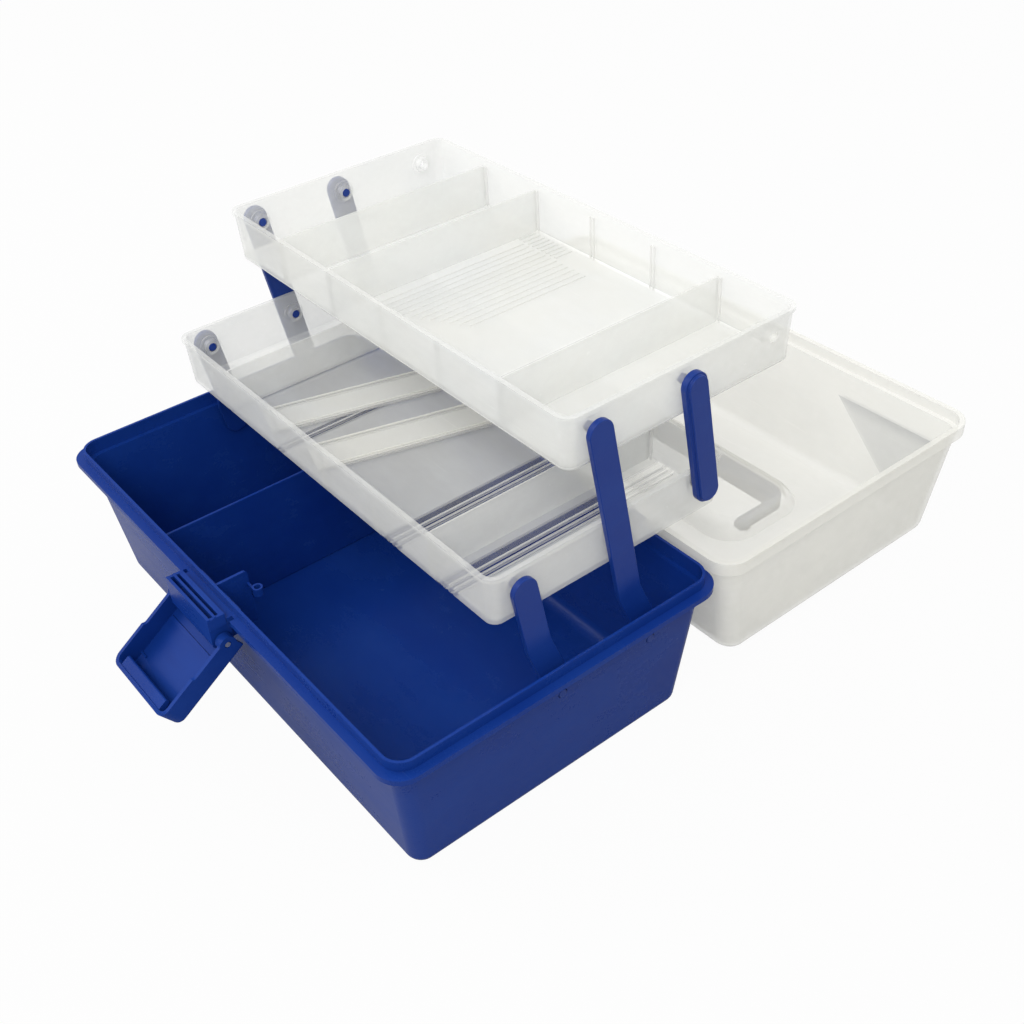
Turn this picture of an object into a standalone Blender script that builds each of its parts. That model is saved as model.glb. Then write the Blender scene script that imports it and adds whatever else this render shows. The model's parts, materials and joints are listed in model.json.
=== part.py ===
"""Sewing box with two cantilever trays, a hinged lid, a carrying handle and a front latch.

The box stands open: the lid is turned back half a turn and the trays are raised.
Frame: metres, +X to the right along the length, +Y from the latch to the hinge, +Z up.
The origin is the centre of the underside of the base.
"""

import math

import bmesh
import bpy
from mathutils import Matrix, Vector

MM = 0.001

# ---- Overall sizes -------------------------------------------------------------------
BASE_LENGTH = 350 * MM        # over the lip of the base, along X
BASE_WIDTH = 208 * MM         # over the lip of the base, along Y
BASE_HEIGHT = 95 * MM         # underside to the top of the lip
LID_DEPTH = 81 * MM           # lid rim to lid top
TRAY_HEIGHT = 32 * MM         # underside to rim of each tray

# ---- Walls and clearances ------------------------------------------------------------
GAP = 0.3 * MM                # least gap between two neighbouring pieces
BASE_WALL = 2.2 * MM
BASE_FLOOR = 2.4 * MM
LID_WALL = 1.8 * MM
TRAY_WALL = 1.5 * MM
PIN_CLEARANCE = 0.4 * MM      # radial play of a snap pin in its hole

# ---- Base tub ------------------------------------------------------------------------
BASE_DRAFT = 11.5 * MM        # how far the foot stands inside the lip
BASE_CORNER = 10 * MM
BASE_FOOT_ROUND = 6 * MM
LIP_HEIGHT = 6 * MM           # lip above the flange
LIP_WALL = 1.6 * MM
LIP_STEP = 2 * MM             # how far the wall under the flange stands inside the lip
LIP_SOCKET = 3 * MM           # how deep the wider mouth reaches below the flange top
FLANGE_OVERHANG = 5 * MM
FLANGE_REAR_CUT = 1.5 * MM    # the flange is narrower along the hinge
FLANGE_THICKNESS = 3.2 * MM
BASE_DIVIDER_X = -80 * MM
BASE_DIVIDER_HEIGHT = 73.5 * MM
BASE_DIVIDER_WALL = 1.8 * MM
TRAY_GUIDE_LENGTH = 17 * MM   # short fin behind the latch
TRAY_GUIDE_CREST = 3.5 * MM   # fin above the flange
TRAY_GUIDE_HEIGHT = 30 * MM
TRAY_GUIDE_WALL = 1.8 * MM

# ---- Trays ---------------------------------------------------------------------------
TRAY_SIDE_ROOM = 18.4 * MM    # lip of the base to rim of the tray, each end
TRAY_FRONT_ROOM = 24.4 * MM   # the same, front and rear
TRAY_DRAFT = 1.2 * MM
TRAY_CORNER = 8 * MM
TRAY_FOOT_ROUND = 2.5 * MM
TRAY_BEAD = 1.2 * MM
TRAY_BEAD_HEIGHT = 2.2 * MM
TRAY_STACK_GAP = 1.1 * MM     # between the trays when the box is shut
TRAY_CELLS = 6                # divider slots split each tray into equal cells
DIVIDER_WALL = 1.3 * MM
DIVIDER_TOP_ROOM = 2.5 * MM   # divider top to tray rim
SLOT_RIB = 1.2 * MM           # thickness of the ribs that hold a divider
SLOT_RIB_REACH = 2.2 * MM
SPARE_DIVIDER_TURN = math.radians(-16)
BOSS_RADIUS = 5.4 * MM
BOSS_REACH = 4 * MM
BOSS_INSET = 18.6 * MM        # outer bosses to the tray's front and rear
BOSS_DROP = 12.6 * MM         # boss axis below the tray rim

# ---- Tray linkage --------------------------------------------------------------------
PIVOT_HEIGHT = 72 * MM        # lower link pivots above the underside
OPEN_LEAN = math.radians(10)  # links lean towards the front when the trays are raised
LINK_WIDTH = 15 * MM
LINK_THICKNESS = 3.4 * MM
TOP_LINK_THICKNESS = 5.6 * MM
LINK_SIDE_GAP = 0.6 * MM      # between a link and the wall beside it
JOGGLE_START = 15 * MM        # the link bends between these heights above its pivot
JOGGLE_END = 29 * MM
PIN_RADIUS = 2.5 * MM
PIN_PROUD = 0.5 * MM          # pin end beyond the wall or boss that it passes

# ---- Lid and hinge -------------------------------------------------------------------
LID_CLEARANCE = 1 * MM        # lip of the base to the lid wall around it
LID_BEAD = 1.6 * MM
LID_STEP = 1.6 * MM          # how far the wall above the rim skirt stands in
LID_BEAD_HEIGHT = 9 * MM
LID_DRAFT_LENGTH = 7 * MM
LID_DRAFT_WIDTH = 14.5 * MM
LID_CORNER = 12 * MM
LID_TOP_ROUND = 6 * MM
LID_SEAT_GAP = 0.6 * MM       # flange of the base to the rim of the shut lid
HINGE_OFFSET = 5.2 * MM       # hinge axis behind the lip of the base
HINGE_LIFT = 3.2 * MM         # hinge axis above the flange
HINGE_X = 110 * MM
KNUCKLE_RADIUS = 2.7 * MM
KNUCKLE_LENGTH = 12 * MM
HINGE_PIN_RADIUS = 1.1 * MM

# ---- Handle in the lid ---------------------------------------------------------------
POCKET_HALF_LENGTH = 100 * MM
POCKET_FRONT = -50 * MM
POCKET_REAR = 18 * MM
POCKET_DEPTH = 10.5 * MM
POCKET_CORNER = 18 * MM
POCKET_DRAFT = 3 * MM
HANDLE_REACH = 37 * MM        # handle axis to the middle of the grip
HANDLE_GRIP = 14 * MM
HANDLE_THICKNESS = 8 * MM
HANDLE_ARM = 6 * MM
HANDLE_SIDE_GAP = 1 * MM

# ---- Latch ---------------------------------------------------------------------------
LATCH_WIDTH = 60 * MM
LATCH_WALL = 2.3 * MM
LATCH_LENGTH = 52 * MM        # latch axis to the tip of the flap
LATCH_BARREL = 6 * MM
LATCH_OPEN_ANGLE = math.radians(125)
LATCH_DROP = 12.5 * MM        # latch axis below the flange top
LATCH_OFFSET = 4.5 * MM       # latch axis in front of the flange edge
LATCH_PIN_RADIUS = 1.6 * MM
BLOCK_HALF_WIDTH = 24 * MM
BLOCK_REACH = 10.5 * MM       # latch block in front of the flange edge
BLOCK_RISE = 4 * MM           # latch block above the flange top
KEEPER_HALF_WIDTH = 20 * MM
KEEPER_HEIGHT = 5.3 * MM
KEEPER_REACH = 5 * MM         # keeper in front of the lid rim
HOOK_THICKNESS = 3 * MM
TIP_GAP = 2 * MM             # lid wall line to the edge of the latch's side walls

CORNER_STEPS = 5
ROUND_STEPS = 3
CYLINDER_SIDES = 20

# ---- Derived places ------------------------------------------------------------------
FLANGE_TOP = BASE_HEIGHT - LIP_HEIGHT
LIP_X = BASE_LENGTH / 2
LIP_Y = BASE_WIDTH / 2
TRAY_X = LIP_X - TRAY_SIDE_ROOM
TRAY_Y = LIP_Y - TRAY_FRONT_ROOM
BOSS_SPACING = TRAY_Y - BOSS_INSET
LINK_PITCH = math.hypot(BOSS_SPACING, TRAY_HEIGHT + TRAY_STACK_GAP)
LINK_RISE = Vector((0, -LINK_PITCH * math.sin(OPEN_LEAN), LINK_PITCH * math.cos(OPEN_LEAN)))
FRONT_PIVOT = Vector((0, 0, PIVOT_HEIGHT))
REAR_PIVOT = Vector((0, BOSS_SPACING, PIVOT_HEIGHT))
LOWER_BOSS = FRONT_PIVOT + LINK_RISE               # front boss of the lower tray
UPPER_BOSS = REAR_PIVOT + 2 * LINK_RISE            # front boss of the upper tray
TRAY_FROM_BOSS = Vector((0, BOSS_SPACING, BOSS_DROP))   # front boss to rim centre
LOWER_RIM = LOWER_BOSS + TRAY_FROM_BOSS
UPPER_RIM = UPPER_BOSS + TRAY_FROM_BOSS
HINGE = Vector((0, LIP_Y + HINGE_OFFSET, FLANGE_TOP + HINGE_LIFT))
LID_SEAT = FLANGE_TOP + LID_SEAT_GAP
LID_TOP = LID_SEAT + LID_DEPTH
LATCH_AXIS = Vector((0, -LIP_Y - FLANGE_OVERHANG - LATCH_OFFSET, FLANGE_TOP - LATCH_DROP))
HANDLE_AXIS = Vector((0, 0, LID_TOP - POCKET_DEPTH + HANDLE_SIDE_GAP + HANDLE_THICKNESS / 2))
LID_TURN = Matrix.Translation(HINGE) @ Matrix.Rotation(math.pi, 4, "X") @ Matrix.Translation(-HINGE)
LATCH_TURN = (Matrix.Translation(LATCH_AXIS) @ Matrix.Rotation(LATCH_OPEN_ANGLE, 4, "X")
              @ Matrix.Translation(-LATCH_AXIS))

BLUE = ("blue_polypropylene", (0.018, 0.045, 0.26, 1), 0.38, 0.0)
CLEAR = ("frosted_polypropylene", (0.80, 0.81, 0.77, 1), 0.35, 0.0)
STEEL = ("steel_wire", (0.62, 0.62, 0.63, 1), 0.3, 1.0)


# ---- Helpers -------------------------------------------------------------------------
def clear_scene():
    """Remove every object, so that the script starts from nothing."""
    for old in list(bpy.data.objects):
        bpy.data.objects.remove(old, do_unlink=True)


def new_collection(name):
    """Make a collection and link it to the scene."""
    collection = bpy.data.collections.new(name)
    bpy.context.scene.collection.children.link(collection)
    return collection


def material(node, finish):
    """A Principled material for one node, from a finish (name, colour, roughness, metallic)."""
    name, colour, roughness, metallic = finish
    made = bpy.data.materials.new(f"{node}_{name}")
    made.use_nodes = True
    shader = made.node_tree.nodes["Principled BSDF"]
    shader.inputs["Base Color"].default_value = colour
    shader.inputs["Roughness"].default_value = roughness
    shader.inputs["Metallic"].default_value = metallic
    made.diffuse_color = colour
    return made


def finish_mesh(bm, name, origin=Vector(), smooth_angle=35):
    """Turn a bmesh in world coordinates into a mesh whose origin is at the given point."""
    bmesh.ops.translate(bm, verts=bm.verts, vec=-origin)
    bmesh.ops.recalc_face_normals(bm, faces=bm.faces)
    mesh = bpy.data.meshes.new(name)
    bm.to_mesh(mesh)
    bm.free()
    mesh.shade_smooth()
    mesh.set_sharp_from_angle(angle=math.radians(smooth_angle))
    return mesh


def add_part(name, bm, finish, origin=Vector(), turn=None):
    """Add a node to the part's collection, from a bmesh in world coordinates."""
    if turn is not None:
        bmesh.ops.transform(bm, matrix=turn, verts=bm.verts)
    part = bpy.data.objects.new(name, finish_mesh(bm, name, origin))
    part.location = origin
    part.data.materials.append(material(name, finish))
    PARTS.objects.link(part)
    return part


def add_tool(name, bm, turn=None):
    """Add a hidden solid that cuts or joins a part."""
    if turn is not None:
        bmesh.ops.transform(bm, matrix=turn, verts=bm.verts)
    tool = bpy.data.objects.new(name, finish_mesh(bm, name))
    tool.hide_render = True
    tool.display_type = "WIRE"
    TOOLS.objects.link(tool)
    return tool


def combine(part, tool, operation):
    """Join a tool to a part, or cut the part with it."""
    boolean = part.modifiers.new(f"{operation.lower()}_{tool.name}", "BOOLEAN")
    boolean.operation = operation
    boolean.solver = "EXACT"
    boolean.object = tool


def box(low, high, bm=None):
    """A box between two corners, added to a bmesh."""
    bm = bm or bmesh.new()
    low, high = Vector(low), Vector(high)
    size = high - low
    place = Matrix.Translation((low + high) / 2) @ Matrix.Diagonal((*size, 1))
    bmesh.ops.create_cube(bm, size=1, matrix=place)
    return bm


def rod(start, end, radius, y, z, bm=None, sides=CYLINDER_SIDES):
    """A round bar along X between two X values, added to a bmesh."""
    bm = bm or bmesh.new()
    place = (Matrix.Translation(((start + end) / 2, y, z)) @ Matrix.Rotation(math.pi / 2, 4, "Y"))
    bmesh.ops.create_cone(bm, cap_ends=True, segments=sides, radius1=radius, radius2=radius,
                          depth=abs(end - start), matrix=place)
    return bm


def rounded_ring(half_x, half_y, radius, z, centre_y=0.0):
    """Points of a rectangle with round corners, at one height."""
    points = []
    for quarter, (side_x, side_y) in enumerate(((1, 1), (-1, 1), (-1, -1), (1, -1))):
        corner = Vector((side_x * (half_x - radius), centre_y + side_y * (half_y - radius), z))
        for step in range(CORNER_STEPS + 1):
            angle = math.pi / 2 * (quarter + step / CORNER_STEPS)
            points.append(corner + radius * Vector((math.cos(angle), math.sin(angle), 0)))
    return points


def loft(rings):
    """A closed body through rings with equal numbers of points, flat at both ends."""
    bm = bmesh.new()
    loops = [[bm.verts.new(point) for point in ring] for ring in rings]
    count = len(loops[0])
    for lower, upper in zip(loops, loops[1:]):
        for i in range(count):
            j = (i + 1) % count
            bm.faces.new((lower[i], lower[j], upper[j], upper[i]))
    bm.faces.new(loops[0])
    bm.faces.new(loops[-1])
    return bm


def prism(outline, thickness, axes):
    """Extrude a flat outline. axes maps (u, v, w) to world, and w runs over the thickness."""
    bm = bmesh.new()
    low, high = thickness
    face = bm.faces.new([bm.verts.new(axes @ Vector((u, v, low))) for u, v in outline])
    grown = bmesh.ops.extrude_face_region(bm, geom=[face])
    moved = [item for item in grown["geom"] if isinstance(item, bmesh.types.BMVert)]
    bmesh.ops.translate(bm, verts=moved, vec=axes @ Vector((0, 0, high - low)))
    return bm


def stadium(length, radius, steps=8):
    """Outline of a strip with round ends, from the origin along v, as (u, v) points."""
    upper = [(radius * math.cos(a), length + radius * math.sin(a))
             for a in (math.pi * i / steps for i in range(steps + 1))]
    lower = [(-radius * math.cos(a), -radius * math.sin(a))
             for a in (math.pi * i / steps for i in range(steps + 1))]
    return upper + lower


def arc_rings(ring_at, start, end):
    """Rings along a quarter turn: ring_at(angle) for angles from start to end."""
    return [ring_at(start + (end - start) * i / ROUND_STEPS) for i in range(ROUND_STEPS + 1)]


def bevel_edges(part, width):
    """Round the edges of a blocky part a little."""
    bevel = part.modifiers.new("soft_edges", "BEVEL")
    bevel.width = width
    bevel.segments = 1
    bevel.limit_method = "ANGLE"
    bevel.angle_limit = math.radians(50)


# ---- Base ----------------------------------------------------------------------------
def base_inset(z):
    """How far the outer wall of the base stands inside the lip, at one height."""
    return LIP_STEP + (BASE_DRAFT - LIP_STEP) * (1 - z / FLANGE_TOP)


def base_ring(inset, z, radius, centre_y=0.0, less_y=0.0):
    """A ring of the base, given as an inset from its lip."""
    return rounded_ring(LIP_X - inset, LIP_Y - inset - less_y, radius, z, centre_y)


def base_body():
    """The drafted tub with its flange and lip, as a loft of rings."""
    foot = BASE_FOOT_ROUND
    foot_inset = base_inset(foot)
    inner_round = foot - BASE_WALL
    inner_start = BASE_FLOOR + inner_round
    inner_corner = BASE_CORNER - BASE_WALL

    def outer_foot(angle):
        inset = foot_inset + foot * (1 - math.sin(angle))
        radius = BASE_CORNER - foot * (1 - math.sin(angle))
        return base_ring(inset, foot * (1 - math.cos(angle)), radius)

    def inner_foot(angle):
        inset = base_inset(inner_start) + BASE_WALL + inner_round * (1 - math.sin(angle))
        radius = inner_corner - inner_round * (1 - math.sin(angle))
        return base_ring(inset, inner_start - inner_round * math.cos(angle), radius)

    under_flange = FLANGE_TOP - FLANGE_THICKNESS
    socket = FLANGE_TOP - LIP_SOCKET
    shift = -FLANGE_REAR_CUT / 2
    flange = [base_ring(-FLANGE_OVERHANG, z, BASE_CORNER + FLANGE_OVERHANG, shift, -shift)
              for z in (under_flange, FLANGE_TOP)]
    rings = arc_rings(outer_foot, 0, math.pi / 2)
    rings.append(base_ring(base_inset(under_flange), under_flange, BASE_CORNER))
    rings += flange
    rings.append(base_ring(0, FLANGE_TOP, BASE_CORNER + LIP_STEP))
    rings.append(base_ring(0, BASE_HEIGHT, BASE_CORNER + LIP_STEP))
    rings.append(base_ring(LIP_WALL, BASE_HEIGHT, BASE_CORNER + LIP_STEP - LIP_WALL))
    rings.append(base_ring(LIP_WALL, socket, BASE_CORNER + LIP_STEP - LIP_WALL))
    rings.append(base_ring(base_inset(socket) + BASE_WALL, socket, inner_corner))
    rings += arc_rings(inner_foot, math.pi / 2, 0)
    return loft(rings)


def latch_block():
    """The block under the latch, with two open channels along its top."""
    front = -LIP_Y - FLANGE_OVERHANG - BLOCK_REACH
    edge = -LIP_Y - FLANGE_OVERHANG
    top = FLANGE_TOP + BLOCK_RISE
    floor = FLANGE_TOP - FLANGE_THICKNESS / 2
    wall = 1.6 * MM
    middle = (front + edge) / 2
    low = LATCH_AXIS.z - LATCH_BARREL + 1 * MM
    half = BLOCK_HALF_WIDTH - 0.6 * MM
    rear = edge + 1.5 * MM
    outline = [(rear, low), (rear, FLANGE_TOP - FLANGE_THICKNESS / 4),
               (edge - wall, FLANGE_TOP - FLANGE_THICKNESS / 4), (edge - wall, floor),
               (middle + wall / 2, floor), (middle + wall / 2, top), (middle - wall / 2, top),
               (middle - wall / 2, floor), (front + wall, floor), (front + wall, top),
               (front, top), (front, LATCH_AXIS.z), (front + 3 * MM, low)]
    across = Matrix(((0, 0, 1), (1, 0, 0), (0, 1, 0)))
    return prism(outline, (-half, half), across)


def block_cheeks():
    """End walls of the latch block and the web that ties it to the wall of the base."""
    front = -LIP_Y - FLANGE_OVERHANG - BLOCK_REACH
    edge = -LIP_Y - FLANGE_OVERHANG
    bm = bmesh.new()
    for side in (-1, 1):
        outer = side * BLOCK_HALF_WIDTH
        inner = outer - side * 1.6 * MM
        box((min(outer, inner), front + 0.4 * MM, FLANGE_TOP - 1.3 * FLANGE_THICKNESS),
            (max(outer, inner), edge - 0.4 * MM, FLANGE_TOP + BLOCK_RISE - 0.4 * MM), bm)
    return bm


def block_web():
    """The web that ties the latch block to the wall of the base."""
    front_wall = -LIP_Y + base_inset(LATCH_AXIS.z)
    return box((-BLOCK_HALF_WIDTH + 2 * MM, LATCH_AXIS.y + LATCH_PIN_RADIUS + 2 * MM,
                LATCH_AXIS.z - LATCH_BARREL + 2 * MM),
               (BLOCK_HALF_WIDTH - 2 * MM, front_wall + BASE_WALL / 2, FLANGE_TOP - 1 * MM))


def base_tub():
    """The blue base, one moulding with its flange, latch block, hinge knuckles and tray guide."""
    tub = add_part("base_tub", base_body(), BLUE)
    guide_x = TRAY_GUIDE_WALL / 2
    guide_top = FLANGE_TOP - LIP_SOCKET - 0.5 * MM
    inner_front = -LIP_Y + base_inset(guide_top) + BASE_WALL
    guide = box((-guide_x, inner_front - BASE_WALL / 2, guide_top - TRAY_GUIDE_HEIGHT),
                (guide_x, inner_front + TRAY_GUIDE_LENGTH - 0.2 * MM, FLANGE_TOP - 1 * MM))
    combine(tub, add_tool("tray_guide", guide), "UNION")
    crest = box((-guide_x, -LIP_Y + LIP_WALL / 2, FLANGE_TOP - 2.5 * MM),
                (guide_x, inner_front + TRAY_GUIDE_LENGTH, FLANGE_TOP + TRAY_GUIDE_CREST))
    combine(tub, add_tool("tray_guide_crest", crest), "UNION")
    combine(tub, add_tool("latch_block", latch_block()), "UNION")
    combine(tub, add_tool("latch_block_cheeks", block_cheeks()), "UNION")
    combine(tub, add_tool("latch_block_web", block_web()), "UNION")
    half = KNUCKLE_LENGTH / 2
    for side, label in ((-1, "left"), (1, "right")):
        middle = side * HINGE_X
        barrel = rod(middle - half, middle + half, KNUCKLE_RADIUS, HINGE.y, HINGE.z)
        combine(tub, add_tool(f"base_knuckle_{label}", barrel), "UNION")
        foot = box((middle - half, LIP_Y + GAP, FLANGE_TOP - FLANGE_THICKNESS / 2),
                   (middle + half, HINGE.y + KNUCKLE_RADIUS / 2, HINGE.z - KNUCKLE_RADIUS / 3))
        combine(tub, add_tool(f"base_knuckle_foot_{label}", foot), "UNION")
        holes = bmesh.new()
        for pivot in (FRONT_PIVOT, REAR_PIVOT):
            inner = LIP_X - base_inset(0) - 2 * BASE_WALL
            rod(side * inner, side * (LIP_X + BASE_WALL), PIN_RADIUS + PIN_CLEARANCE,
                pivot.y, pivot.z, holes)
        combine(tub, add_tool(f"link_pin_holes_{label}", holes), "DIFFERENCE")
    pin_bore = rod(-HINGE_X - KNUCKLE_LENGTH, HINGE_X + KNUCKLE_LENGTH,
                   HINGE_PIN_RADIUS + GAP, HINGE.y, HINGE.z)
    combine(tub, add_tool("hinge_pin_bore", pin_bore), "DIFFERENCE")
    latch_bore = rod(-BLOCK_HALF_WIDTH - 5 * MM, BLOCK_HALF_WIDTH + 5 * MM,
                     LATCH_PIN_RADIUS + GAP, LATCH_AXIS.y, LATCH_AXIS.z)
    combine(tub, add_tool("latch_pin_bore", latch_bore), "DIFFERENCE")
    return tub


def base_divider():
    """The fixed partition across the base."""
    gap = 2 * GAP
    low = BASE_FLOOR + gap
    high = BASE_FLOOR + BASE_DIVIDER_HEIGHT
    reach_low = LIP_Y - base_inset(low) - BASE_WALL - gap
    reach_high = LIP_Y - base_inset(high) - BASE_WALL - gap
    lift = BASE_FOOT_ROUND - BASE_WALL
    outline = [(-reach_low + lift, low), (reach_low - lift, low), (reach_low, low + lift),
               (reach_high, high), (-reach_high, high), (-reach_low, low + lift)]
    across = Matrix(((0, 0, 1), (1, 0, 0), (0, 1, 0)))
    half = BASE_DIVIDER_WALL / 2
    bm = prism(outline, (BASE_DIVIDER_X - half, BASE_DIVIDER_X + half), across)
    return add_part("base_divider", bm, BLUE, Vector((BASE_DIVIDER_X, 0, low)))


# ---- Trays and dividers --------------------------------------------------------------
def tray_half(side, depth):
    """Half size of the tray's outer wall at a depth below its rim, from the rim's half size."""
    return side - TRAY_BEAD - TRAY_DRAFT * depth / TRAY_HEIGHT


def tray_body(rim):
    """The open tray: drafted walls, thin floor and a bead round the rim."""
    foot = TRAY_FOOT_ROUND
    corner = TRAY_CORNER - TRAY_BEAD

    def ring(inset, depth, radius):
        return rounded_ring(tray_half(TRAY_X, depth) - inset, tray_half(TRAY_Y, depth) - inset,
                            radius, rim.z - depth, rim.y)

    def outer_foot(angle):
        inset = foot * (1 - math.sin(angle))
        return ring(inset, TRAY_HEIGHT - foot * (1 - math.cos(angle)), corner - inset)

    inner_round = foot - TRAY_WALL
    rings = arc_rings(outer_foot, 0, math.pi / 2)
    rings += [ring(0, TRAY_BEAD_HEIGHT, corner),
              ring(-TRAY_BEAD, TRAY_BEAD_HEIGHT, TRAY_CORNER),
              ring(-TRAY_BEAD, 0, TRAY_CORNER),
              ring(TRAY_WALL, 0, corner - TRAY_WALL),
              ring(TRAY_WALL, TRAY_HEIGHT - TRAY_WALL - inner_round, corner - TRAY_WALL),
              ring(TRAY_WALL + inner_round, TRAY_HEIGHT - TRAY_WALL, corner - TRAY_WALL - inner_round)]
    return loft(rings)


def slot_places():
    """X places of the divider slots."""
    pitch = 2 * (TRAY_X - TRAY_BEAD - TRAY_WALL) / TRAY_CELLS
    return [pitch * (i - TRAY_CELLS / 2) for i in range(1, TRAY_CELLS)]


def tray(name, rim):
    """One frosted tray with pivot bosses at both ends and ribs for its dividers."""
    made = add_part(name, tray_body(rim), CLEAR, rim - TRAY_FROM_BOSS)
    ribs = bmesh.new()
    low = rim.z - TRAY_HEIGHT + TRAY_WALL / 2
    high = rim.z - DIVIDER_TOP_ROOM - 1 * MM
    for place in slot_places():
        for side in (-1, 1):
            for cheek in (-1, 1):
                near = place + cheek * (DIVIDER_WALL / 2 + GAP)
                far = near + cheek * SLOT_RIB
                wall = rim.y + side * (tray_half(TRAY_Y, TRAY_HEIGHT) - TRAY_WALL / 2)
                inner = wall - side * SLOT_RIB_REACH
                box((min(near, far), min(wall, inner), low),
                    (max(near, far), max(wall, inner), high), ribs)
    combine(made, add_tool(f"{name}_slot_ribs", ribs), "UNION")
    inside = tray_half(TRAY_X, BOSS_DROP) - TRAY_WALL
    bosses, holes = bmesh.new(), bmesh.new()
    for side in (-1, 1):
        for number in (-1, 0, 1):
            y, z = rim.y + number * BOSS_SPACING, rim.z - BOSS_DROP
            rod(side * (inside + TRAY_WALL / 2), side * (inside - BOSS_REACH), BOSS_RADIUS, y, z, bosses)
            rod(side * (inside - BOSS_REACH - 2 * MM), side * (TRAY_X + 2 * MM),
                PIN_RADIUS + PIN_CLEARANCE, y, z, holes)
    combine(made, add_tool(f"{name}_bosses", bosses), "UNION")
    combine(made, add_tool(f"{name}_pin_holes", holes), "DIFFERENCE")
    return made


def tray_divider(name, rim, place):
    """A thin plate that stands in one pair of slots."""
    gap = 2 * GAP
    low = rim.z - TRAY_HEIGHT + TRAY_WALL + gap
    high = rim.z - DIVIDER_TOP_ROOM
    half = tray_half(TRAY_Y, TRAY_HEIGHT) - TRAY_WALL - gap
    half_wall = DIVIDER_WALL / 2
    lift = TRAY_FOOT_ROUND - TRAY_WALL
    outline = [(-half + lift, low), (half - lift, low), (half, low + lift), (half, high),
               (-half, high), (-half, low + lift)]
    across = Matrix(((0, 0, 1), (1, 0, 0), (0, 1, 0)))
    bm = prism([(rim.y + u, v) for u, v in outline], (place - half_wall, place + half_wall), across)
    return add_part(name, bm, CLEAR, Vector((place, rim.y, low)))


def loose_divider(name, rim, middle_x, turn):
    """A spare divider lying flat on the floor of a tray, turned a little."""
    half_length = tray_half(TRAY_Y, TRAY_HEIGHT) - TRAY_WALL - 5 * MM
    half_width = (TRAY_HEIGHT - TRAY_WALL - DIVIDER_TOP_ROOM) / 2 - GAP
    low = rim.z - TRAY_HEIGHT + TRAY_WALL + GAP
    place = Vector((middle_x, rim.y, low))
    bm = box((-half_width, -half_length, 0), (half_width, half_length, DIVIDER_WALL))
    turned = Matrix.Translation(place) @ Matrix.Rotation(turn, 4, "Z")
    return add_part(name, bm, CLEAR, place, turned)


# ---- Links ---------------------------------------------------------------------------
def base_link_plane():
    """Outer X face of the lower end of a link, just inside the wall of the base."""
    lowest = PIVOT_HEIGHT - LINK_WIDTH / 2
    return LIP_X - base_inset(lowest) - BASE_WALL - LINK_SIDE_GAP


def tray_link_plane():
    """Inner X face of a link where it lies against a tray."""
    return TRAY_X + LINK_SIDE_GAP


def link_strip(side, length, thickness, joggle):
    """The strip of a link in its own frame: X across, Z along it, with its lower pivot at 0."""
    inner = tray_link_plane()
    radius = LINK_WIDTH / 2
    top = length + radius + 1 * MM
    bottom = -radius - 1 * MM
    if joggle:
        base_inner = base_link_plane() - thickness
        edge = [(base_inner, bottom), (base_inner, JOGGLE_START), (inner, JOGGLE_END), (inner, top)]
    else:
        edge = [(inner, bottom), (inner, top)]
    outline = edge + [(x + thickness, z) for x, z in reversed(edge)]
    along = Matrix(((side, 0, 0), (0, 0, 1), (0, 1, 0)))
    return prism(outline, (-radius, radius), along)


def link(name, side, pivot, segments, thickness, on_base):
    """A link with its snap pins. It leans by its own rotation, about its lower pivot."""
    origin = Vector(pivot)
    length = segments * LINK_PITCH
    made = bpy.data.objects.new(name, finish_mesh(link_strip(side, length, thickness, on_base), name))
    made.data.materials.append(material(name, BLUE))
    PARTS.objects.link(made)
    made.location = origin
    made.rotation_euler.x = OPEN_LEAN
    lean = Matrix.Translation(origin) @ Matrix.Rotation(OPEN_LEAN, 4, "X")
    across = Matrix(((0, 0, 1), (1, 0, 0), (0, 1, 0)))
    reach = (TRAY_X - 10 * MM, LIP_X + 10 * MM)
    if side < 0:
        reach = (-reach[1], -reach[0])
    ends = prism(stadium(length, LINK_WIDTH / 2), reach, across)
    combine(made, add_tool(f"{name}_outline", ends, lean), "INTERSECT")
    inside = tray_half(TRAY_X, BOSS_DROP) - TRAY_WALL - BOSS_REACH - PIN_PROUD
    sunk = thickness / 3
    pins = bmesh.new()
    for number in range(segments + 1):
        z = number * LINK_PITCH
        if on_base and number == 0:
            outside = LIP_X - base_inset(PIVOT_HEIGHT) + PIN_PROUD
            rod(side * (base_link_plane() - sunk), side * outside, PIN_RADIUS, 0, z, pins)
        else:
            rod(side * inside, side * (tray_link_plane() + sunk), PIN_RADIUS, 0, z, pins)
    combine(made, add_tool(f"{name}_pins", pins, lean), "UNION")
    return made


# ---- Lid, hinge and handle -----------------------------------------------------------
def lid_half(z, inner=False):
    """Half length and half width of the shut lid's wall at a height."""
    start = LID_SEAT + LID_BEAD_HEIGHT
    share = max(0.0, (z - start) / (LID_TOP - start))
    wall = 0 if inner else LID_WALL
    if z > start + 0.01 * MM:
        wall -= LID_STEP
    return (LIP_X + LID_CLEARANCE + wall - LID_DRAFT_LENGTH * share,
            LIP_Y + LID_CLEARANCE + wall - LID_DRAFT_WIDTH * share)


def pocket_ring(inset, z):
    """A ring of the handle pocket."""
    middle = (POCKET_FRONT + POCKET_REAR) / 2
    half_y = (POCKET_REAR - POCKET_FRONT) / 2
    return rounded_ring(POCKET_HALF_LENGTH - inset, half_y - inset, POCKET_CORNER - inset, z, middle)


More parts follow.
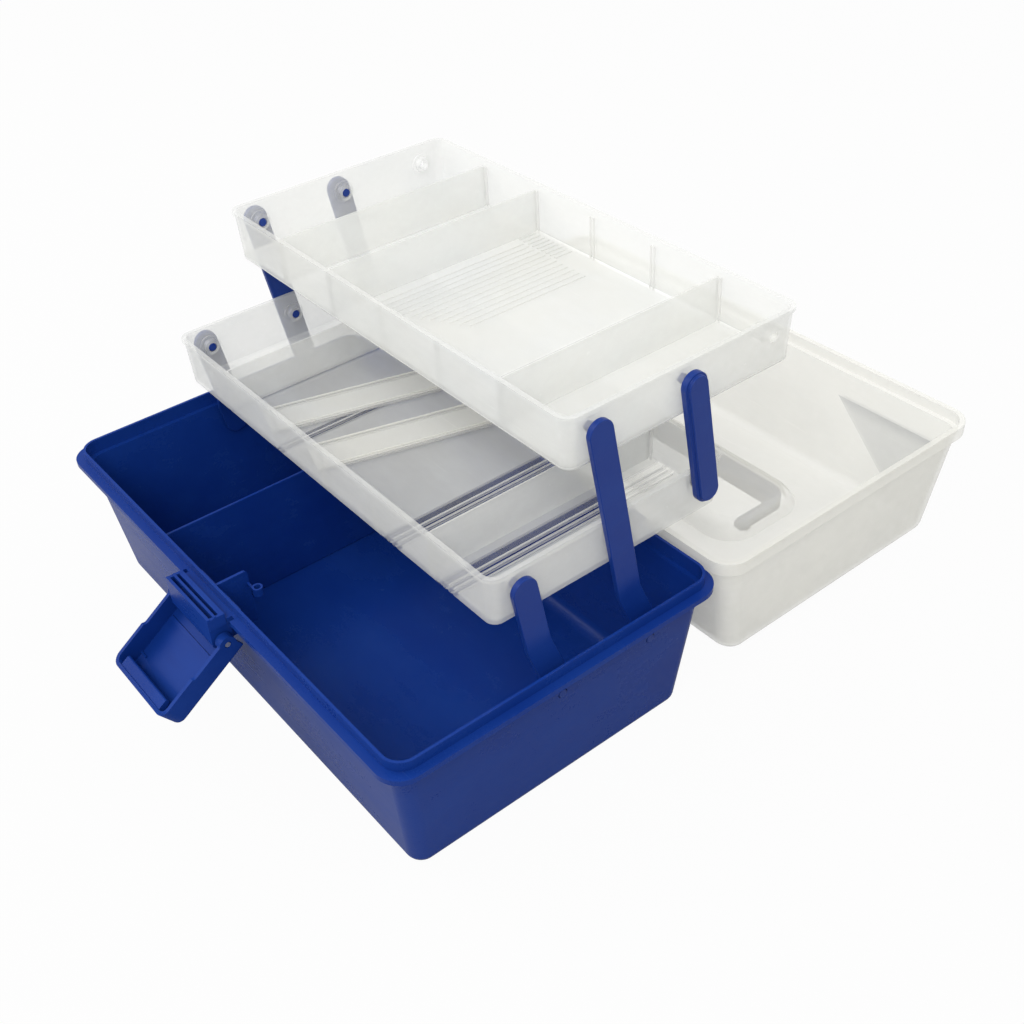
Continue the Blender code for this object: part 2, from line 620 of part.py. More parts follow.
def lid_body():
    """The shut lid: outer skin from the pocket to the rim, then the inner skin back up."""
    seat = LID_SEAT
    bead_top = seat + LID_BEAD_HEIGHT
    turn = LID_TOP_ROUND
    inner_turn = turn - LID_WALL
    inner_top = LID_TOP - LID_WALL

    def ring(z, inset, radius, inner=False):
        half_x, half_y = lid_half(z, inner)
        return rounded_ring(half_x - inset, half_y - inset, radius, z)

    def outer_top(angle):
        inset = turn * (1 - math.cos(angle))
        return ring(LID_TOP - turn + turn * math.sin(angle), inset, LID_CORNER - inset)

    def inner_top_round(angle):
        inset = inner_turn * (1 - math.cos(angle))
        z = inner_top - inner_turn + inner_turn * math.sin(angle)
        return ring(z, inset, LID_CORNER - LID_WALL - inset, True)

    rings = [pocket_ring(POCKET_DRAFT, LID_TOP - POCKET_DEPTH), pocket_ring(0, LID_TOP)]
    rings += arc_rings(outer_top, math.pi / 2, 0)
    inner_step = bead_top - LID_WALL
    rings += [ring(bead_top, LID_STEP, LID_CORNER), ring(bead_top, -LID_BEAD, LID_CORNER + LID_BEAD),
              ring(seat, -LID_BEAD, LID_CORNER + LID_BEAD),
              ring(seat, 0, LID_CORNER - LID_WALL, True),
              ring(inner_step, 0, LID_CORNER - LID_WALL, True),
              ring(inner_step, LID_STEP, LID_CORNER - LID_WALL, True)]
    rings += arc_rings(inner_top_round, 0, math.pi / 2)
    rings += [pocket_ring(-LID_WALL, inner_top),
              pocket_ring(POCKET_DRAFT - LID_WALL, inner_top - POCKET_DEPTH)]
    return loft(rings)


def keeper():
    """The lug on the front of the shut lid that the latch hooks over."""
    top = LATCH_AXIS.z + LATCH_LENGTH - LATCH_WALL - HOOK_THICKNESS - 6 * MM
    low = top - KEEPER_HEIGHT
    wall = -lid_half(top)[1] + LID_WALL / 2
    front = -LIP_Y - LID_CLEARANCE - LID_WALL - KEEPER_REACH
    return box((-KEEPER_HALF_WIDTH, front, low), (KEEPER_HALF_WIDTH, wall, top))


def lid_shell():
    """The frosted lid, turned back half a turn on its hinge."""
    lid = add_part("lid_shell", lid_body(), CLEAR, HINGE, LID_TURN)
    half = KNUCKLE_LENGTH / 2
    notches, barrels, feet = bmesh.new(), bmesh.new(), bmesh.new()
    for side in (-1, 1):
        middle = side * HINGE_X
        box((middle - half - GAP, LIP_Y - LID_CLEARANCE, LID_SEAT - 1 * MM),
            (middle + half + GAP, HINGE.y + 2 * KNUCKLE_RADIUS, LID_SEAT + LID_BEAD_HEIGHT + GAP),
            notches)
        for end in (-1, 1):
            near = middle + end * (half + 2 * GAP)
            far = near + end * KNUCKLE_LENGTH * 0.8
            rod(near, far, KNUCKLE_RADIUS, HINGE.y, HINGE.z, barrels)
            box((min(near, far), LIP_Y + LID_CLEARANCE + LID_WALL / 2, HINGE.z - KNUCKLE_RADIUS / 2),
                (max(near, far), HINGE.y, HINGE.z + KNUCKLE_RADIUS * 0.9), feet)
    bore = rod(-HINGE_X - 2 * KNUCKLE_LENGTH, HINGE_X + 2 * KNUCKLE_LENGTH,
               HINGE_PIN_RADIUS + GAP, HINGE.y, HINGE.z)
    pivots = rod(-POCKET_HALF_LENGTH - 5 * MM, POCKET_HALF_LENGTH + 5 * MM,
                 PIN_RADIUS + PIN_CLEARANCE, HANDLE_AXIS.y, HANDLE_AXIS.z)
    combine(lid, add_tool("lid_keeper", keeper(), LID_TURN), "UNION")
    combine(lid, add_tool("lid_knuckle_notches", notches, LID_TURN), "DIFFERENCE")
    combine(lid, add_tool("lid_knuckles", barrels, LID_TURN), "UNION")
    combine(lid, add_tool("lid_knuckle_feet", feet, LID_TURN), "UNION")
    combine(lid, add_tool("lid_hinge_bore", bore, LID_TURN), "DIFFERENCE")
    combine(lid, add_tool("lid_handle_pivots", pivots, LID_TURN), "DIFFERENCE")
    return lid


def hinge_pin(name, side):
    """A steel pin through one base knuckle and the two lid knuckles beside it."""
    middle = side * HINGE_X
    reach = KNUCKLE_LENGTH * 1.3
    bm = rod(middle - reach, middle + reach, HINGE_PIN_RADIUS, HINGE.y, HINGE.z)
    return add_part(name, bm, STEEL, Vector((middle, HINGE.y, HINGE.z)))


def handle():
    """The carrying handle, folded flat in the pocket of the lid."""
    axis = HANDLE_AXIS
    half = HANDLE_THICKNESS / 2
    outer = POCKET_HALF_LENGTH - POCKET_DRAFT - HANDLE_SIDE_GAP
    inner = outer - HANDLE_ARM
    grip_y = axis.y - HANDLE_REACH
    bm = box((-outer, grip_y - HANDLE_GRIP / 2, axis.z - half),
             (outer, grip_y + HANDLE_GRIP / 2, axis.z + half))
    origin = LID_TURN @ axis
    made = add_part("handle", bm, BLUE, origin, LID_TURN)
    across = Matrix(((0, 0, 1), (0, -1, 0), (1, 0, 0)))
    for side, label in ((-1, "left"), (1, "right")):
        span = (inner, outer) if side > 0 else (-outer, -inner)
        arm = prism(stadium(HANDLE_REACH, half), span, across)
        bmesh.ops.translate(arm, verts=arm.verts, vec=axis)
        combine(made, add_tool(f"handle_arm_{label}", arm, LID_TURN), "UNION")
    corners = loft([pocket_ring(POCKET_DRAFT + HANDLE_SIDE_GAP, z)
                    for z in (axis.z - 2 * half, axis.z + 2 * half)])
    combine(made, add_tool("handle_corners", corners, LID_TURN), "INTERSECT")
    for side, label in ((-1, "left"), (1, "right")):
        stub = rod(side * (inner + 1 * MM), side * (POCKET_HALF_LENGTH + LID_WALL + PIN_PROUD),
                   PIN_RADIUS, axis.y, axis.z)
        combine(made, add_tool(f"handle_stub_{label}", stub, LID_TURN), "UNION")
    return made


# ---- Latch ---------------------------------------------------------------------------
def latch_flap():
    """The hollow flap that hooks over the lid, hanging open on its pin."""
    axis = LATCH_AXIS
    face = axis.y - LATCH_OFFSET - (BLOCK_REACH - 2 * LATCH_OFFSET) - LATCH_WALL - 4 * GAP
    inner_face = face + LATCH_WALL
    tip = axis.z + LATCH_LENGTH
    notch_z = axis.z + LATCH_LENGTH * 0.5
    notch_y = axis.y + LATCH_BARREL * 0.55
    deep_y = -LIP_Y - LID_CLEARANCE - LID_WALL - TIP_GAP
    low = axis.z - LATCH_BARREL
    heel = axis.z - LATCH_BARREL * 0.1
    outline = [(face, heel), (inner_face, heel), (axis.y - 4 * MM, low), (axis.y + 2 * MM, low),
               (axis.y + LATCH_BARREL, axis.z - 2 * MM), (axis.y + LATCH_BARREL, axis.z + 3 * MM),
               (notch_y, axis.z + LATCH_BARREL), (notch_y, notch_z), (deep_y, notch_z),
               (deep_y, tip - 2 * MM), (deep_y - 2 * MM, tip), (face + 2 * MM, tip), (face, tip - 3 * MM)]
    across = Matrix(((0, 0, 1), (1, 0, 0), (0, 1, 0)))
    half = LATCH_WIDTH / 2
    flap = add_part("latch_flap", prism(outline, (-half, half), across), BLUE, axis, LATCH_TURN)
    hollow = half - LATCH_WALL
    cavity = box((-hollow, inner_face, low - 5 * MM), (hollow, deep_y + 5 * MM, tip - LATCH_WALL))
    combine(flap, add_tool("latch_cavity", cavity, LATCH_TURN), "DIFFERENCE")
    hook_top = tip - LATCH_WALL - 5.4 * MM
    hook = box((-hollow - 1 * MM, inner_face - 1 * MM, hook_top - HOOK_THICKNESS),
               (hollow + 1 * MM, deep_y - 0.5 * MM, hook_top))
    combine(flap, add_tool("latch_hook", hook, LATCH_TURN), "UNION")
    ears, bore = bmesh.new(), bmesh.new()
    for side in (-1, 1):
        rod(side * (BLOCK_HALF_WIDTH + 2 * GAP), side * (hollow + 1 * MM), LATCH_BARREL - 1 * MM,
            axis.y, axis.z, ears)
    rod(-half - 2 * MM, half + 2 * MM, LATCH_PIN_RADIUS + GAP, axis.y, axis.z, bore)
    combine(flap, add_tool("latch_ears", ears, LATCH_TURN), "UNION")
    combine(flap, add_tool("latch_bore", bore, LATCH_TURN), "DIFFERENCE")
    return flap


def latch_pin():
    """The steel pin that the latch turns on."""
    half = LATCH_WIDTH / 2 - GAP
    bm = rod(-half, half, LATCH_PIN_RADIUS, LATCH_AXIS.y, LATCH_AXIS.z)
    return add_part("latch_pin", bm, STEEL, LATCH_AXIS)


# ---- Assembly ------------------------------------------------------------------------
def axis_empty(name, place, parent=None):
    """An empty on a joint's axis, which the moving pieces hang from."""
    empty = bpy.data.objects.new(name, None)
    empty.empty_display_size = 0.02
    empty.location = place
    PARTS.objects.link(empty)
    if parent is not None:
        empty.parent = parent
        empty.location = Vector(place) - WORLD[parent.name]
    WORLD[name] = Vector(place)
    return empty


def hang(piece, empty):
    """Hang a piece from an axis empty, keeping its place."""
    piece.location = piece.location - WORLD[empty.name]
    piece.parent = empty


def build():
    """Build every piece of the box."""
    root = axis_empty("sewing_box", Vector())
    for piece in (base_tub(), base_divider(), latch_pin(),
                  hinge_pin("hinge_pin_left", -1), hinge_pin("hinge_pin_right", 1)):
        hang(piece, root)
    lid_axis = axis_empty("lid_axis", HINGE, root)
    hang(lid_shell(), lid_axis)
    handle_axis = axis_empty("handle_axis", LID_TURN @ HANDLE_AXIS, lid_axis)
    hang(handle(), handle_axis)
    latch_axis = axis_empty("latch_axis", LATCH_AXIS, root)
    hang(latch_flap(), latch_axis)

    slots = slot_places()
    lower_axis = axis_empty("lower_tray_axis", LOWER_BOSS, root)
    upper_axis = axis_empty("upper_tray_axis", UPPER_BOSS, root)
    hang(tray("lower_tray", LOWER_RIM), lower_axis)
    hang(tray("upper_tray", UPPER_RIM), upper_axis)
    hang(tray_divider("lower_tray_divider_left", LOWER_RIM, slots[0]), lower_axis)
    hang(tray_divider("lower_tray_divider_right", LOWER_RIM, slots[4]), lower_axis)
    pitch = slots[1] - slots[0]
    for label, place in (("left", -1.1 * pitch), ("right", -0.1 * pitch)):
        spare = loose_divider(f"lower_tray_spare_divider_{label}", LOWER_RIM, place, SPARE_DIVIDER_TURN)
        hang(spare, lower_axis)
    hang(tray_divider("upper_tray_divider_left", UPPER_RIM, slots[0]), upper_axis)
    hang(tray_divider("upper_tray_divider_middle", UPPER_RIM, slots[1]), upper_axis)
    hang(tray_divider("upper_tray_divider_right", UPPER_RIM, slots[4]), upper_axis)

    rear_boss = LOWER_BOSS + Vector((0, 2 * BOSS_SPACING, 0))
    for side, label in ((-1, "left"), (1, "right")):
        for name, pivot, segments, thickness, on_base in (
                ("short_link", FRONT_PIVOT, 1, LINK_THICKNESS, True),
                ("long_link", REAR_PIVOT, 2, LINK_THICKNESS, True),
                ("top_link", rear_boss, 1, TOP_LINK_THICKNESS, False)):
            axis = axis_empty(f"{name}_{label}_axis", pivot, root)
            hang(link(f"{name}_{label}", side, pivot, segments, thickness, on_base), axis)


clear_scene()
WORLD = {}
PARTS = new_collection("sewing_box")
TOOLS = new_collection("tools")
build()
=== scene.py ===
"""Open sewing box: blue moulded base, frosted lid and two frosted cantilever trays.

Lengths are metres. +X runs along the box, +Y from the latch to the hinge, +Z up.
"""

from __future__ import annotations

import json
import logging
import math
from contextlib import contextmanager
from dataclasses import dataclass
from enum import Enum
from typing import Callable, Iterable, Iterator

import bmesh
import bpy
from mathutils import Matrix, Vector


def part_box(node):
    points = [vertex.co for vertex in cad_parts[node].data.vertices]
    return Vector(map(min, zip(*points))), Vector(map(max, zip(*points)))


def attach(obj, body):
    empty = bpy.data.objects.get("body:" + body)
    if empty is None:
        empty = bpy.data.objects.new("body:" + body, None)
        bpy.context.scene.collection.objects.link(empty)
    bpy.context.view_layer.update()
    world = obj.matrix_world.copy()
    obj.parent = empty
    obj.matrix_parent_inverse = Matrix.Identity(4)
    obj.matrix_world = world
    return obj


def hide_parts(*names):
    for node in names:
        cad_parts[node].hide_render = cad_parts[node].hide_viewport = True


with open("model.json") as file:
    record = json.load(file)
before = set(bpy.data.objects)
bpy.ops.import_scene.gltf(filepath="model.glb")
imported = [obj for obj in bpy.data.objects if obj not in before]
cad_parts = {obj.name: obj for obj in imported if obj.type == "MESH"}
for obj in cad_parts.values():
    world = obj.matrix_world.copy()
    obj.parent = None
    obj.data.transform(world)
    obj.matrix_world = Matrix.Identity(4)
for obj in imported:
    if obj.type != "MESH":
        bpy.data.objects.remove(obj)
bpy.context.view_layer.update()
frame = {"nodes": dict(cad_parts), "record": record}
MM = 0.001
PIN_RADIUS = 2.5 * MM         # snap pins of the links and stubs of the handle
PIN_HOLE = 2.9 * MM           # radius of the holes that they run in
KNUCKLE_RADIUS = 2.7 * MM     # hinge knuckles of the base and of the lid
PLASTIC_IOR = 1.49
LOG = logging.getLogger("sewing_box")


# ---- Places in the frame -------------------------------------------------------------
@dataclass(frozen=True)
class Span:
    """The box that a node fills at rest."""

    low: Vector
    high: Vector

    @property
    def middle(self) -> Vector:
        """Centre of the box."""
        return (self.low + self.high) / 2

    @property
    def half(self) -> Vector:
        """Half of the box's size."""
        return (self.high - self.low) / 2


def span(node: str) -> Span:
    """The span of a node.

    Args:
        node: name of the node.

    Returns:
        Its lowest and highest corners as a Span.
    """
    low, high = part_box(node)
    return Span(Vector(low), Vector(high))


def pivot(joint: str) -> Vector:
    """The place of a joint at rest.

    Args:
        joint: name of the joint.

    Returns:
        A point on its axis.
    """
    for entry in frame["record"]["behaviour"]["joints"]:
        if entry["name"] == joint:
            return Vector(entry["pos_m"])
    raise KeyError(joint)


def about_x(centre: Vector, degrees: float) -> Matrix:
    """A turn about an axis along X.

    Args:
        centre: a point on the axis.
        degrees: angle by the right-hand rule.

    Returns:
        The matrix of the turn.
    """
    turn = Matrix.Rotation(math.radians(degrees), 4, "X")
    return Matrix.Translation(centre) @ turn @ Matrix.Translation(-centre)


# ---- Shaping -------------------------------------------------------------------------
class Pick(Enum):
    """What an edit-mode selection is made of."""

    VERTS = "VERT"
    EDGES = "EDGE"


class Joinery(Enum):
    """How two solids are combined."""

    ADD = "UNION"
    CUT = "DIFFERENCE"


Test = Callable[[Vector, Vector], bool]


class Piece:
    """A mesh that is shaped with edit-mode operators while its object stays at the origin."""

    def __init__(self, made: bpy.types.Object) -> None:
        """Wrap an object."""
        self.made = made

    @classmethod
    def block(cls, name: str, low: Iterable[float], high: Iterable[float]) -> "Piece":
        """A plain block between two corners.

        Args:
            name: name of the piece.
            low: lowest corner.
            high: highest corner.

        Returns:
            The new piece.
        """
        low, high = Vector(low), Vector(high)
        bpy.ops.object.select_all(action="DESELECT")
        bpy.ops.mesh.primitive_cube_add(size=1, location=(low + high) / 2, scale=high - low)
        return cls._settled(name)

    @classmethod
    def rod(cls, name: str, start: Iterable[float], end: Iterable[float], radius: float,
            sides: int = 40) -> "Piece":
        """A round bar between two points.

        Args:
            name: name of the piece.
            start: centre of one end.
            end: centre of the other end.
            radius: radius of the bar.
            sides: number of sides.

        Returns:
            The new piece.
        """
        start, end = Vector(start), Vector(end)
        run = end - start
        bpy.ops.object.select_all(action="DESELECT")
        bpy.ops.mesh.primitive_cylinder_add(
            vertices=sides, radius=radius, depth=run.length, location=(start + end) / 2,
            rotation=run.to_track_quat("Z", "Y").to_euler())
        return cls._settled(name)

    @classmethod
    def rounded(cls, name: str, low: Iterable[float], high: Iterable[float], corner: float,
                foot: tuple[float, float] = (0.0, 0.0), foot_round: float = 0.0,
                head: tuple[float, float] = (0.0, 0.0), head_round: float = 0.0,
                steps: int = 12) -> "Piece":
        """A block with round upright corners that narrows towards its foot or its head.

        Args:
            name: name of the piece.
            low: lowest corner.
            high: highest corner.
            corner: radius of the upright corners.
            foot: how far the lower face stands in on X and Y.
            foot_round: radius round the lower face.
            head: how far the upper face stands in on X and Y.
            head_round: radius round the upper face.
            steps: segments in each corner.

        Returns:
            The new piece.
        """
        low, high = Vector(low), Vector(high)
        middle, half = (low + high) / 2, (high - low) / 2
        piece = cls.block(name, low, high)
        with piece.editing():
            piece.pick(Pick.EDGES, lambda at, way: abs(way.z) > 0.9)
            bpy.ops.mesh.bevel(offset=corner, segments=steps, affect="EDGES")
            for level, inset, radius in ((low.z, foot, foot_round), (high.z, head, head_round)):
                if inset[0] or inset[1]:
                    piece.pick(Pick.VERTS, lambda at, way, z=level: abs(at.z - z) < 1e-6)
                    bpy.ops.transform.resize(
                        value=((half.x - inset[0]) / half.x, (half.y - inset[1]) / half.y, 1),
                        center_override=(middle.x, middle.y, level))
                if radius:
                    piece.pick(Pick.EDGES, lambda at, way, z=level: abs(at.z - z) < 1e-6
                               and abs(way.z) < 1e-3)
                    bpy.ops.mesh.bevel(offset=radius, segments=6, affect="EDGES")
        return piece

    @classmethod
    def _settled(cls, name: str) -> "Piece":
        """Name the new primitive and move its place into its mesh."""
        made = bpy.context.object
        made.name = name
        made.data.name = name
        bpy.ops.object.transform_apply(location=True, rotation=True, scale=True)
        return cls(made)

    def activate(self) -> None:
        """Make this the only selected object."""
        bpy.ops.object.select_all(action="DESELECT")
        self.made.select_set(True)
        bpy.context.view_layer.objects.active = self.made

    @contextmanager
    def editing(self) -> Iterator[None]:
        """Hold the piece in edit mode."""
        self.activate()
        bpy.ops.object.mode_set(mode="EDIT")
        yield
        bpy.ops.object.mode_set(mode="OBJECT")

    def pick(self, what: Pick, test: Test) -> None:
        """Select parts of the mesh by their place.

        Args:
            what: verts or edges.
            test: takes the centre, and the edge's direction or the normal.
        """
        bpy.ops.mesh.select_mode(type=what.value)
        bpy.ops.mesh.select_all(action="DESELECT")
        mesh = bmesh.from_edit_mesh(self.made.data)
        if what is Pick.VERTS:
            for vert in mesh.verts:
                if test(vert.co, vert.normal):
                    vert.select_set(True)
        else:
            for edge in mesh.edges:
                start, end = edge.verts[0].co, edge.verts[1].co
                if test((start + end) / 2, (end - start).normalized()):
                    edge.select_set(True)
        mesh.select_flush_mode()
        bmesh.update_edit_mesh(self.made.data)

    def round_edges(self, test: Test, radius: float, steps: int = 8) -> "Piece":
        """Round the edges that pass a test."""
        with self.editing():
            self.pick(Pick.EDGES, test)
            bpy.ops.mesh.bevel(offset=radius, segments=steps, affect="EDGES")
        return self

    def shift(self, test: Test, way: Iterable[float]) -> "Piece":
        """Move the verts that pass a test."""
        with self.editing():
            self.pick(Pick.VERTS, test)
            bpy.ops.transform.translate(value=tuple(way))
        return self

    def slice(self, point: Iterable[float], normal: Iterable[float]) -> "Piece":
        """Cut new edges all round, in one plane."""
        with self.editing():
            bpy.ops.mesh.select_all(action="SELECT")
            bpy.ops.mesh.bisect(plane_co=tuple(point), plane_no=tuple(normal))
        return self

    def modify(self, kind: str, **settings: object) -> "Piece":
        """Add a modifier and apply it."""
        self.activate()
        modifier = self.made.modifiers.new(kind.lower(), kind)
        for key, value in settings.items():
            setattr(modifier, key, value)
        bpy.ops.object.modifier_apply(modifier=modifier.name)
        return self

    def combine(self, how: Joinery, *tools: "Piece") -> "Piece":
        """Add other solids to this one or cut them out of it; they are used up."""
        for tool in tools:
            self.modify("BOOLEAN", operation=how.value, solver="EXACT", object=tool.made)
            bpy.data.objects.remove(tool.made, do_unlink=True)
        return self

    def join(self, *others: "Piece") -> "Piece":
        """Take other meshes into this one as they are."""
        if others:
            self.activate()
            for other in others:
                other.made.select_set(True)
            bpy.ops.object.join()
        return self

    def copies(self, shifts: Iterable[Iterable[float]]) -> "Piece":
        """Keep this piece and add a shifted copy of it for each shift, all as one mesh."""
        extra = []
        for way in shifts:
            twin = self.made.copy()
            twin.data = self.made.data.copy()
            twin.location = Vector(way)
            bpy.context.scene.collection.objects.link(twin)
            extra.append(Piece(twin))
        return self.join(*extra)

    def turned(self, matrix: Matrix) -> "Piece":
        """Turn the mesh and keep the object at the origin."""
        self.activate()
        self.made.matrix_world = matrix
        bpy.ops.object.transform_apply(location=True, rotation=True, scale=True)
        return self

    def soften(self, width: float, steps: int = 2, angle: float = 40.0) -> "Piece":
        """Round every sharp edge a little and smooth the shading.

        Args:
            width: width of the rounding.
            steps: segments of the rounding.
            angle: sharpest angle that stays untouched, in degrees.

        Returns:
            This piece.
        """
        self.modify("BEVEL", width=width, segments=steps, limit_method="ANGLE",
                    angle_limit=math.radians(angle), use_clamp_overlap=True,
                    miter_outer="MITER_ARC")
        bpy.ops.object.shade_smooth_by_angle(angle=math.radians(45))
        return self.modify("WEIGHTED_NORMAL", keep_sharp=True, weight=80)

    def dress(self, finish: "Finish", body: str, slot: str, *nodes: str) -> bpy.types.Object:
        """Give the piece its material, its body and the nodes that it stands for.

        Args:
            finish: the finish to wear.
            body: body that the piece rides on.
            slot: material slot of the record; not used.
            nodes: nodes that the piece replaces.

        Returns:
            The finished object.
        """
        self.made.data.materials.clear()
        self.made.data.materials.append(finish.material())
        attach(self.made, body)
        if nodes:
            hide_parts(*nodes)
        LOG.info("piece %s on %s, %d faces", self.made.name, body, len(self.made.data.polygons))
        return self.made


# ---- Shader writing ------------------------------------------------------------------
class Wire:
    """A socket's value in an expression; operators add Math nodes."""

    def __init__(self, sheet: "Sheet", socket: bpy.types.NodeSocket) -> None:
        """Hold a socket of a sheet."""
        self.sheet = sheet
        self.socket = socket

    def _math(self, operation: str, first: "Wire | float", second: "Wire | float") -> "Wire":
        """Put one Math node."""
        return self.sheet.put("ShaderNodeMath", {"operation": operation}, {0: first, 1: second})

    def __add__(self, other: "Wire | float") -> "Wire":
        """Sum."""
        return self._math("ADD", self, other)

    def __radd__(self, other: float) -> "Wire":
        """Sum, reflected."""
        return self._math("ADD", other, self)

    def __sub__(self, other: "Wire | float") -> "Wire":
        """Difference."""
        return self._math("SUBTRACT", self, other)

    def __rsub__(self, other: float) -> "Wire":
        """Difference, reflected."""
        return self._math("SUBTRACT", other, self)

    def __mul__(self, other: "Wire | float") -> "Wire":
        """Product."""
        return self._math("MULTIPLY", self, other)

    def __rmul__(self, other: float) -> "Wire":
        """Product, reflected."""
        return self._math("MULTIPLY", other, self)

    def __truediv__(self, other: "Wire | float") -> "Wire":
        """Quotient."""
        return self._math("DIVIDE", self, other)

    def above(self, level: float) -> "Wire":
        """One where the value is above a level, else zero."""
        return self._math("GREATER_THAN", self, level)

    def most(self, other: "Wire | float") -> "Wire":
        """The larger of two values."""
        return self._math("MAXIMUM", self, other)

    def size(self) -> "Wire":
        """The value without its sign."""
        return self._math("ABSOLUTE", self, 0.0)

    def ease(self, low: float, high: float) -> "Wire":
        """A soft step from 0 at low to 1 at high."""
        return self.sheet.put("ShaderNodeMapRange", {"interpolation_type": "SMOOTHSTEP"},
                              {"Value": self, "From Min": low, "From Max": high})


class Sheet:
    """The node tree of one material."""

    def __init__(self, name: str) -> None:
        """Start an empty material."""
        self.made = bpy.data.materials.new(name)
        self.made.use_nodes = True
        self.made.node_tree.nodes.clear()

    def put(self, kind: str, settings: dict | None = None, values: dict | None = None,
            out: int | str = 0) -> Wire:
        """Add one node.

        Args:
            kind: type of the node.
            settings: settings that are set first.
            values: numbers, colours or wires of its sockets, by name or index.
            out: output that the wire carries.

        Returns:
            The wire of the output.
        """
        node = self.made.node_tree.nodes.new(kind)
        for key, value in (settings or {}).items():
            setattr(node, key, value)
        for key, value in (values or {}).items():
            if isinstance(value, Wire):
                self.made.node_tree.links.new(value.socket, node.inputs[key])
            else:
                node.inputs[key].default_value = value
        return Wire(self, node.outputs[out]) if len(node.outputs) else None

    def place(self) -> Wire:
        """Object coordinates."""
        return self.put("ShaderNodeTexCoord", out="Object")

    def axes(self, centre: tuple = (0.0, 0.0, 0.0), turn: float = 0.0) -> tuple[Wire, Wire, Wire]:
        """Three coordinates, apart.

        Args:
            centre: where they start.
            turn: how far they are turned about Z, in degrees.

        Returns:
            X, Y and Z.
        """
        at = self.place()
        if turn:
            at = self.put("ShaderNodeMapping", {"vector_type": "TEXTURE"},
                          {"Vector": at, "Location": centre,
                           "Rotation": (0, 0, math.radians(turn))})
        split = self.put("ShaderNodeSeparateXYZ", None, {0: at})
        outs = split.socket.node.outputs
        return tuple(Wire(self, outs[i]) for i in range(3))

    def noise(self, scale: float, detail: float = 3.0, stretch: tuple = (1, 1, 1),
              rough: float = 0.55) -> Wire:
        """Noise from 0 to 1.

        Args:
            scale: lumps per metre.
            detail: octaves.
            stretch: scale along each axis.
            rough: strength of the finer octaves.

        Returns:
            The noise's value.
        """
        at = self.place()
        if stretch != (1, 1, 1):
            at = self.put("ShaderNodeMapping", None, {"Vector": at, "Scale": stretch})
        return self.put("ShaderNodeTexNoise", None,
                        {"Vector": at, "Scale": scale, "Detail": detail, "Roughness": rough})

    def blend(self, factor: Wire | float, first: Wire | tuple, second: Wire | tuple) -> Wire:
        """Mix two colours."""
        return self.put("ShaderNodeMix", {"data_type": "RGBA"}, {0: factor, 6: first, 7: second}, 2)

    def bump(self, height: Wire, depth: float, under: Wire | None = None) -> Wire:
        """A bump of a height from 0 to 1 over a depth in metres."""
        values = {"Strength": 1.0, "Distance": depth, "Height": height}
        if under is not None:
            values["Normal"] = under
        return self.put("ShaderNodeBump", None, values)

    def close(self, shader: Wire) -> bpy.types.Material:
        """Connect the output."""
        self.put("ShaderNodeOutputMaterial", None, {"Surface": shader})
        return self.made


class Finish:
    """A finish that makes its material once."""

    def draw(self) -> bpy.types.Material:
        """Make the material."""
        raise NotImplementedError

    def material(self) -> bpy.types.Material:
        """The material, made on first use."""
        name = getattr(self, "name")
        return bpy.data.materials.get(name) or self.draw()


@dataclass(frozen=True)
class BluePlastic(Finish):
    """Satin blue polypropylene, moulded, with a fine grain, flow marks and light scuffs."""

    name: str = "blue_moulding"
    colour: tuple = (0.0048, 0.030, 0.215, 1)
    pale: tuple = (0.0085, 0.043, 0.25, 1)
    scuff: tuple = (0.05, 0.10, 0.32, 1)
    gloss: float = 0.2
    sheen: float = 0.13
    grain: float = 900.0
    depth: float = 0.03 * MM
    scuffing: float = 0.25

    def draw(self) -> bpy.types.Material:
        """Make the material."""
        sheet = Sheet(self.name)
        cloud = sheet.noise(9, 4).ease(0.3, 0.7)
        flow = sheet.noise(38, 5, (0.35, 1, 1.6)).ease(0.35, 0.75)
        grain = sheet.noise(self.grain, 3)
        scratch = sheet.noise(260, 6, (0.06, 1.0, 0.5), 0.7).ease(0.62, 0.74)
        cross = sheet.noise(240, 6, (1.0, 0.07, 0.6), 0.7).ease(0.64, 0.76)
        patch = sheet.noise(16, 3).ease(0.5, 0.8)
        marks = scratch.most(cross) * patch
        colour = sheet.blend(cloud * 0.6 + flow * 0.4, self.colour, self.pale)
        colour = sheet.blend(marks * self.scuffing, colour, self.scuff)
        rough = self.gloss + cloud * 0.06 + flow * 0.05 + marks * 0.16 + grain * 0.04
        normal = sheet.bump(grain, self.depth)
        normal = sheet.bump(flow, 0.05 * MM, normal)
        shader = sheet.put("ShaderNodeBsdfPrincipled", None,
                           {"Base Color": colour, "Roughness": rough, "IOR": PLASTIC_IOR,
                            "Specular IOR Level": self.sheen, "Normal": normal})
        return sheet.close(shader)


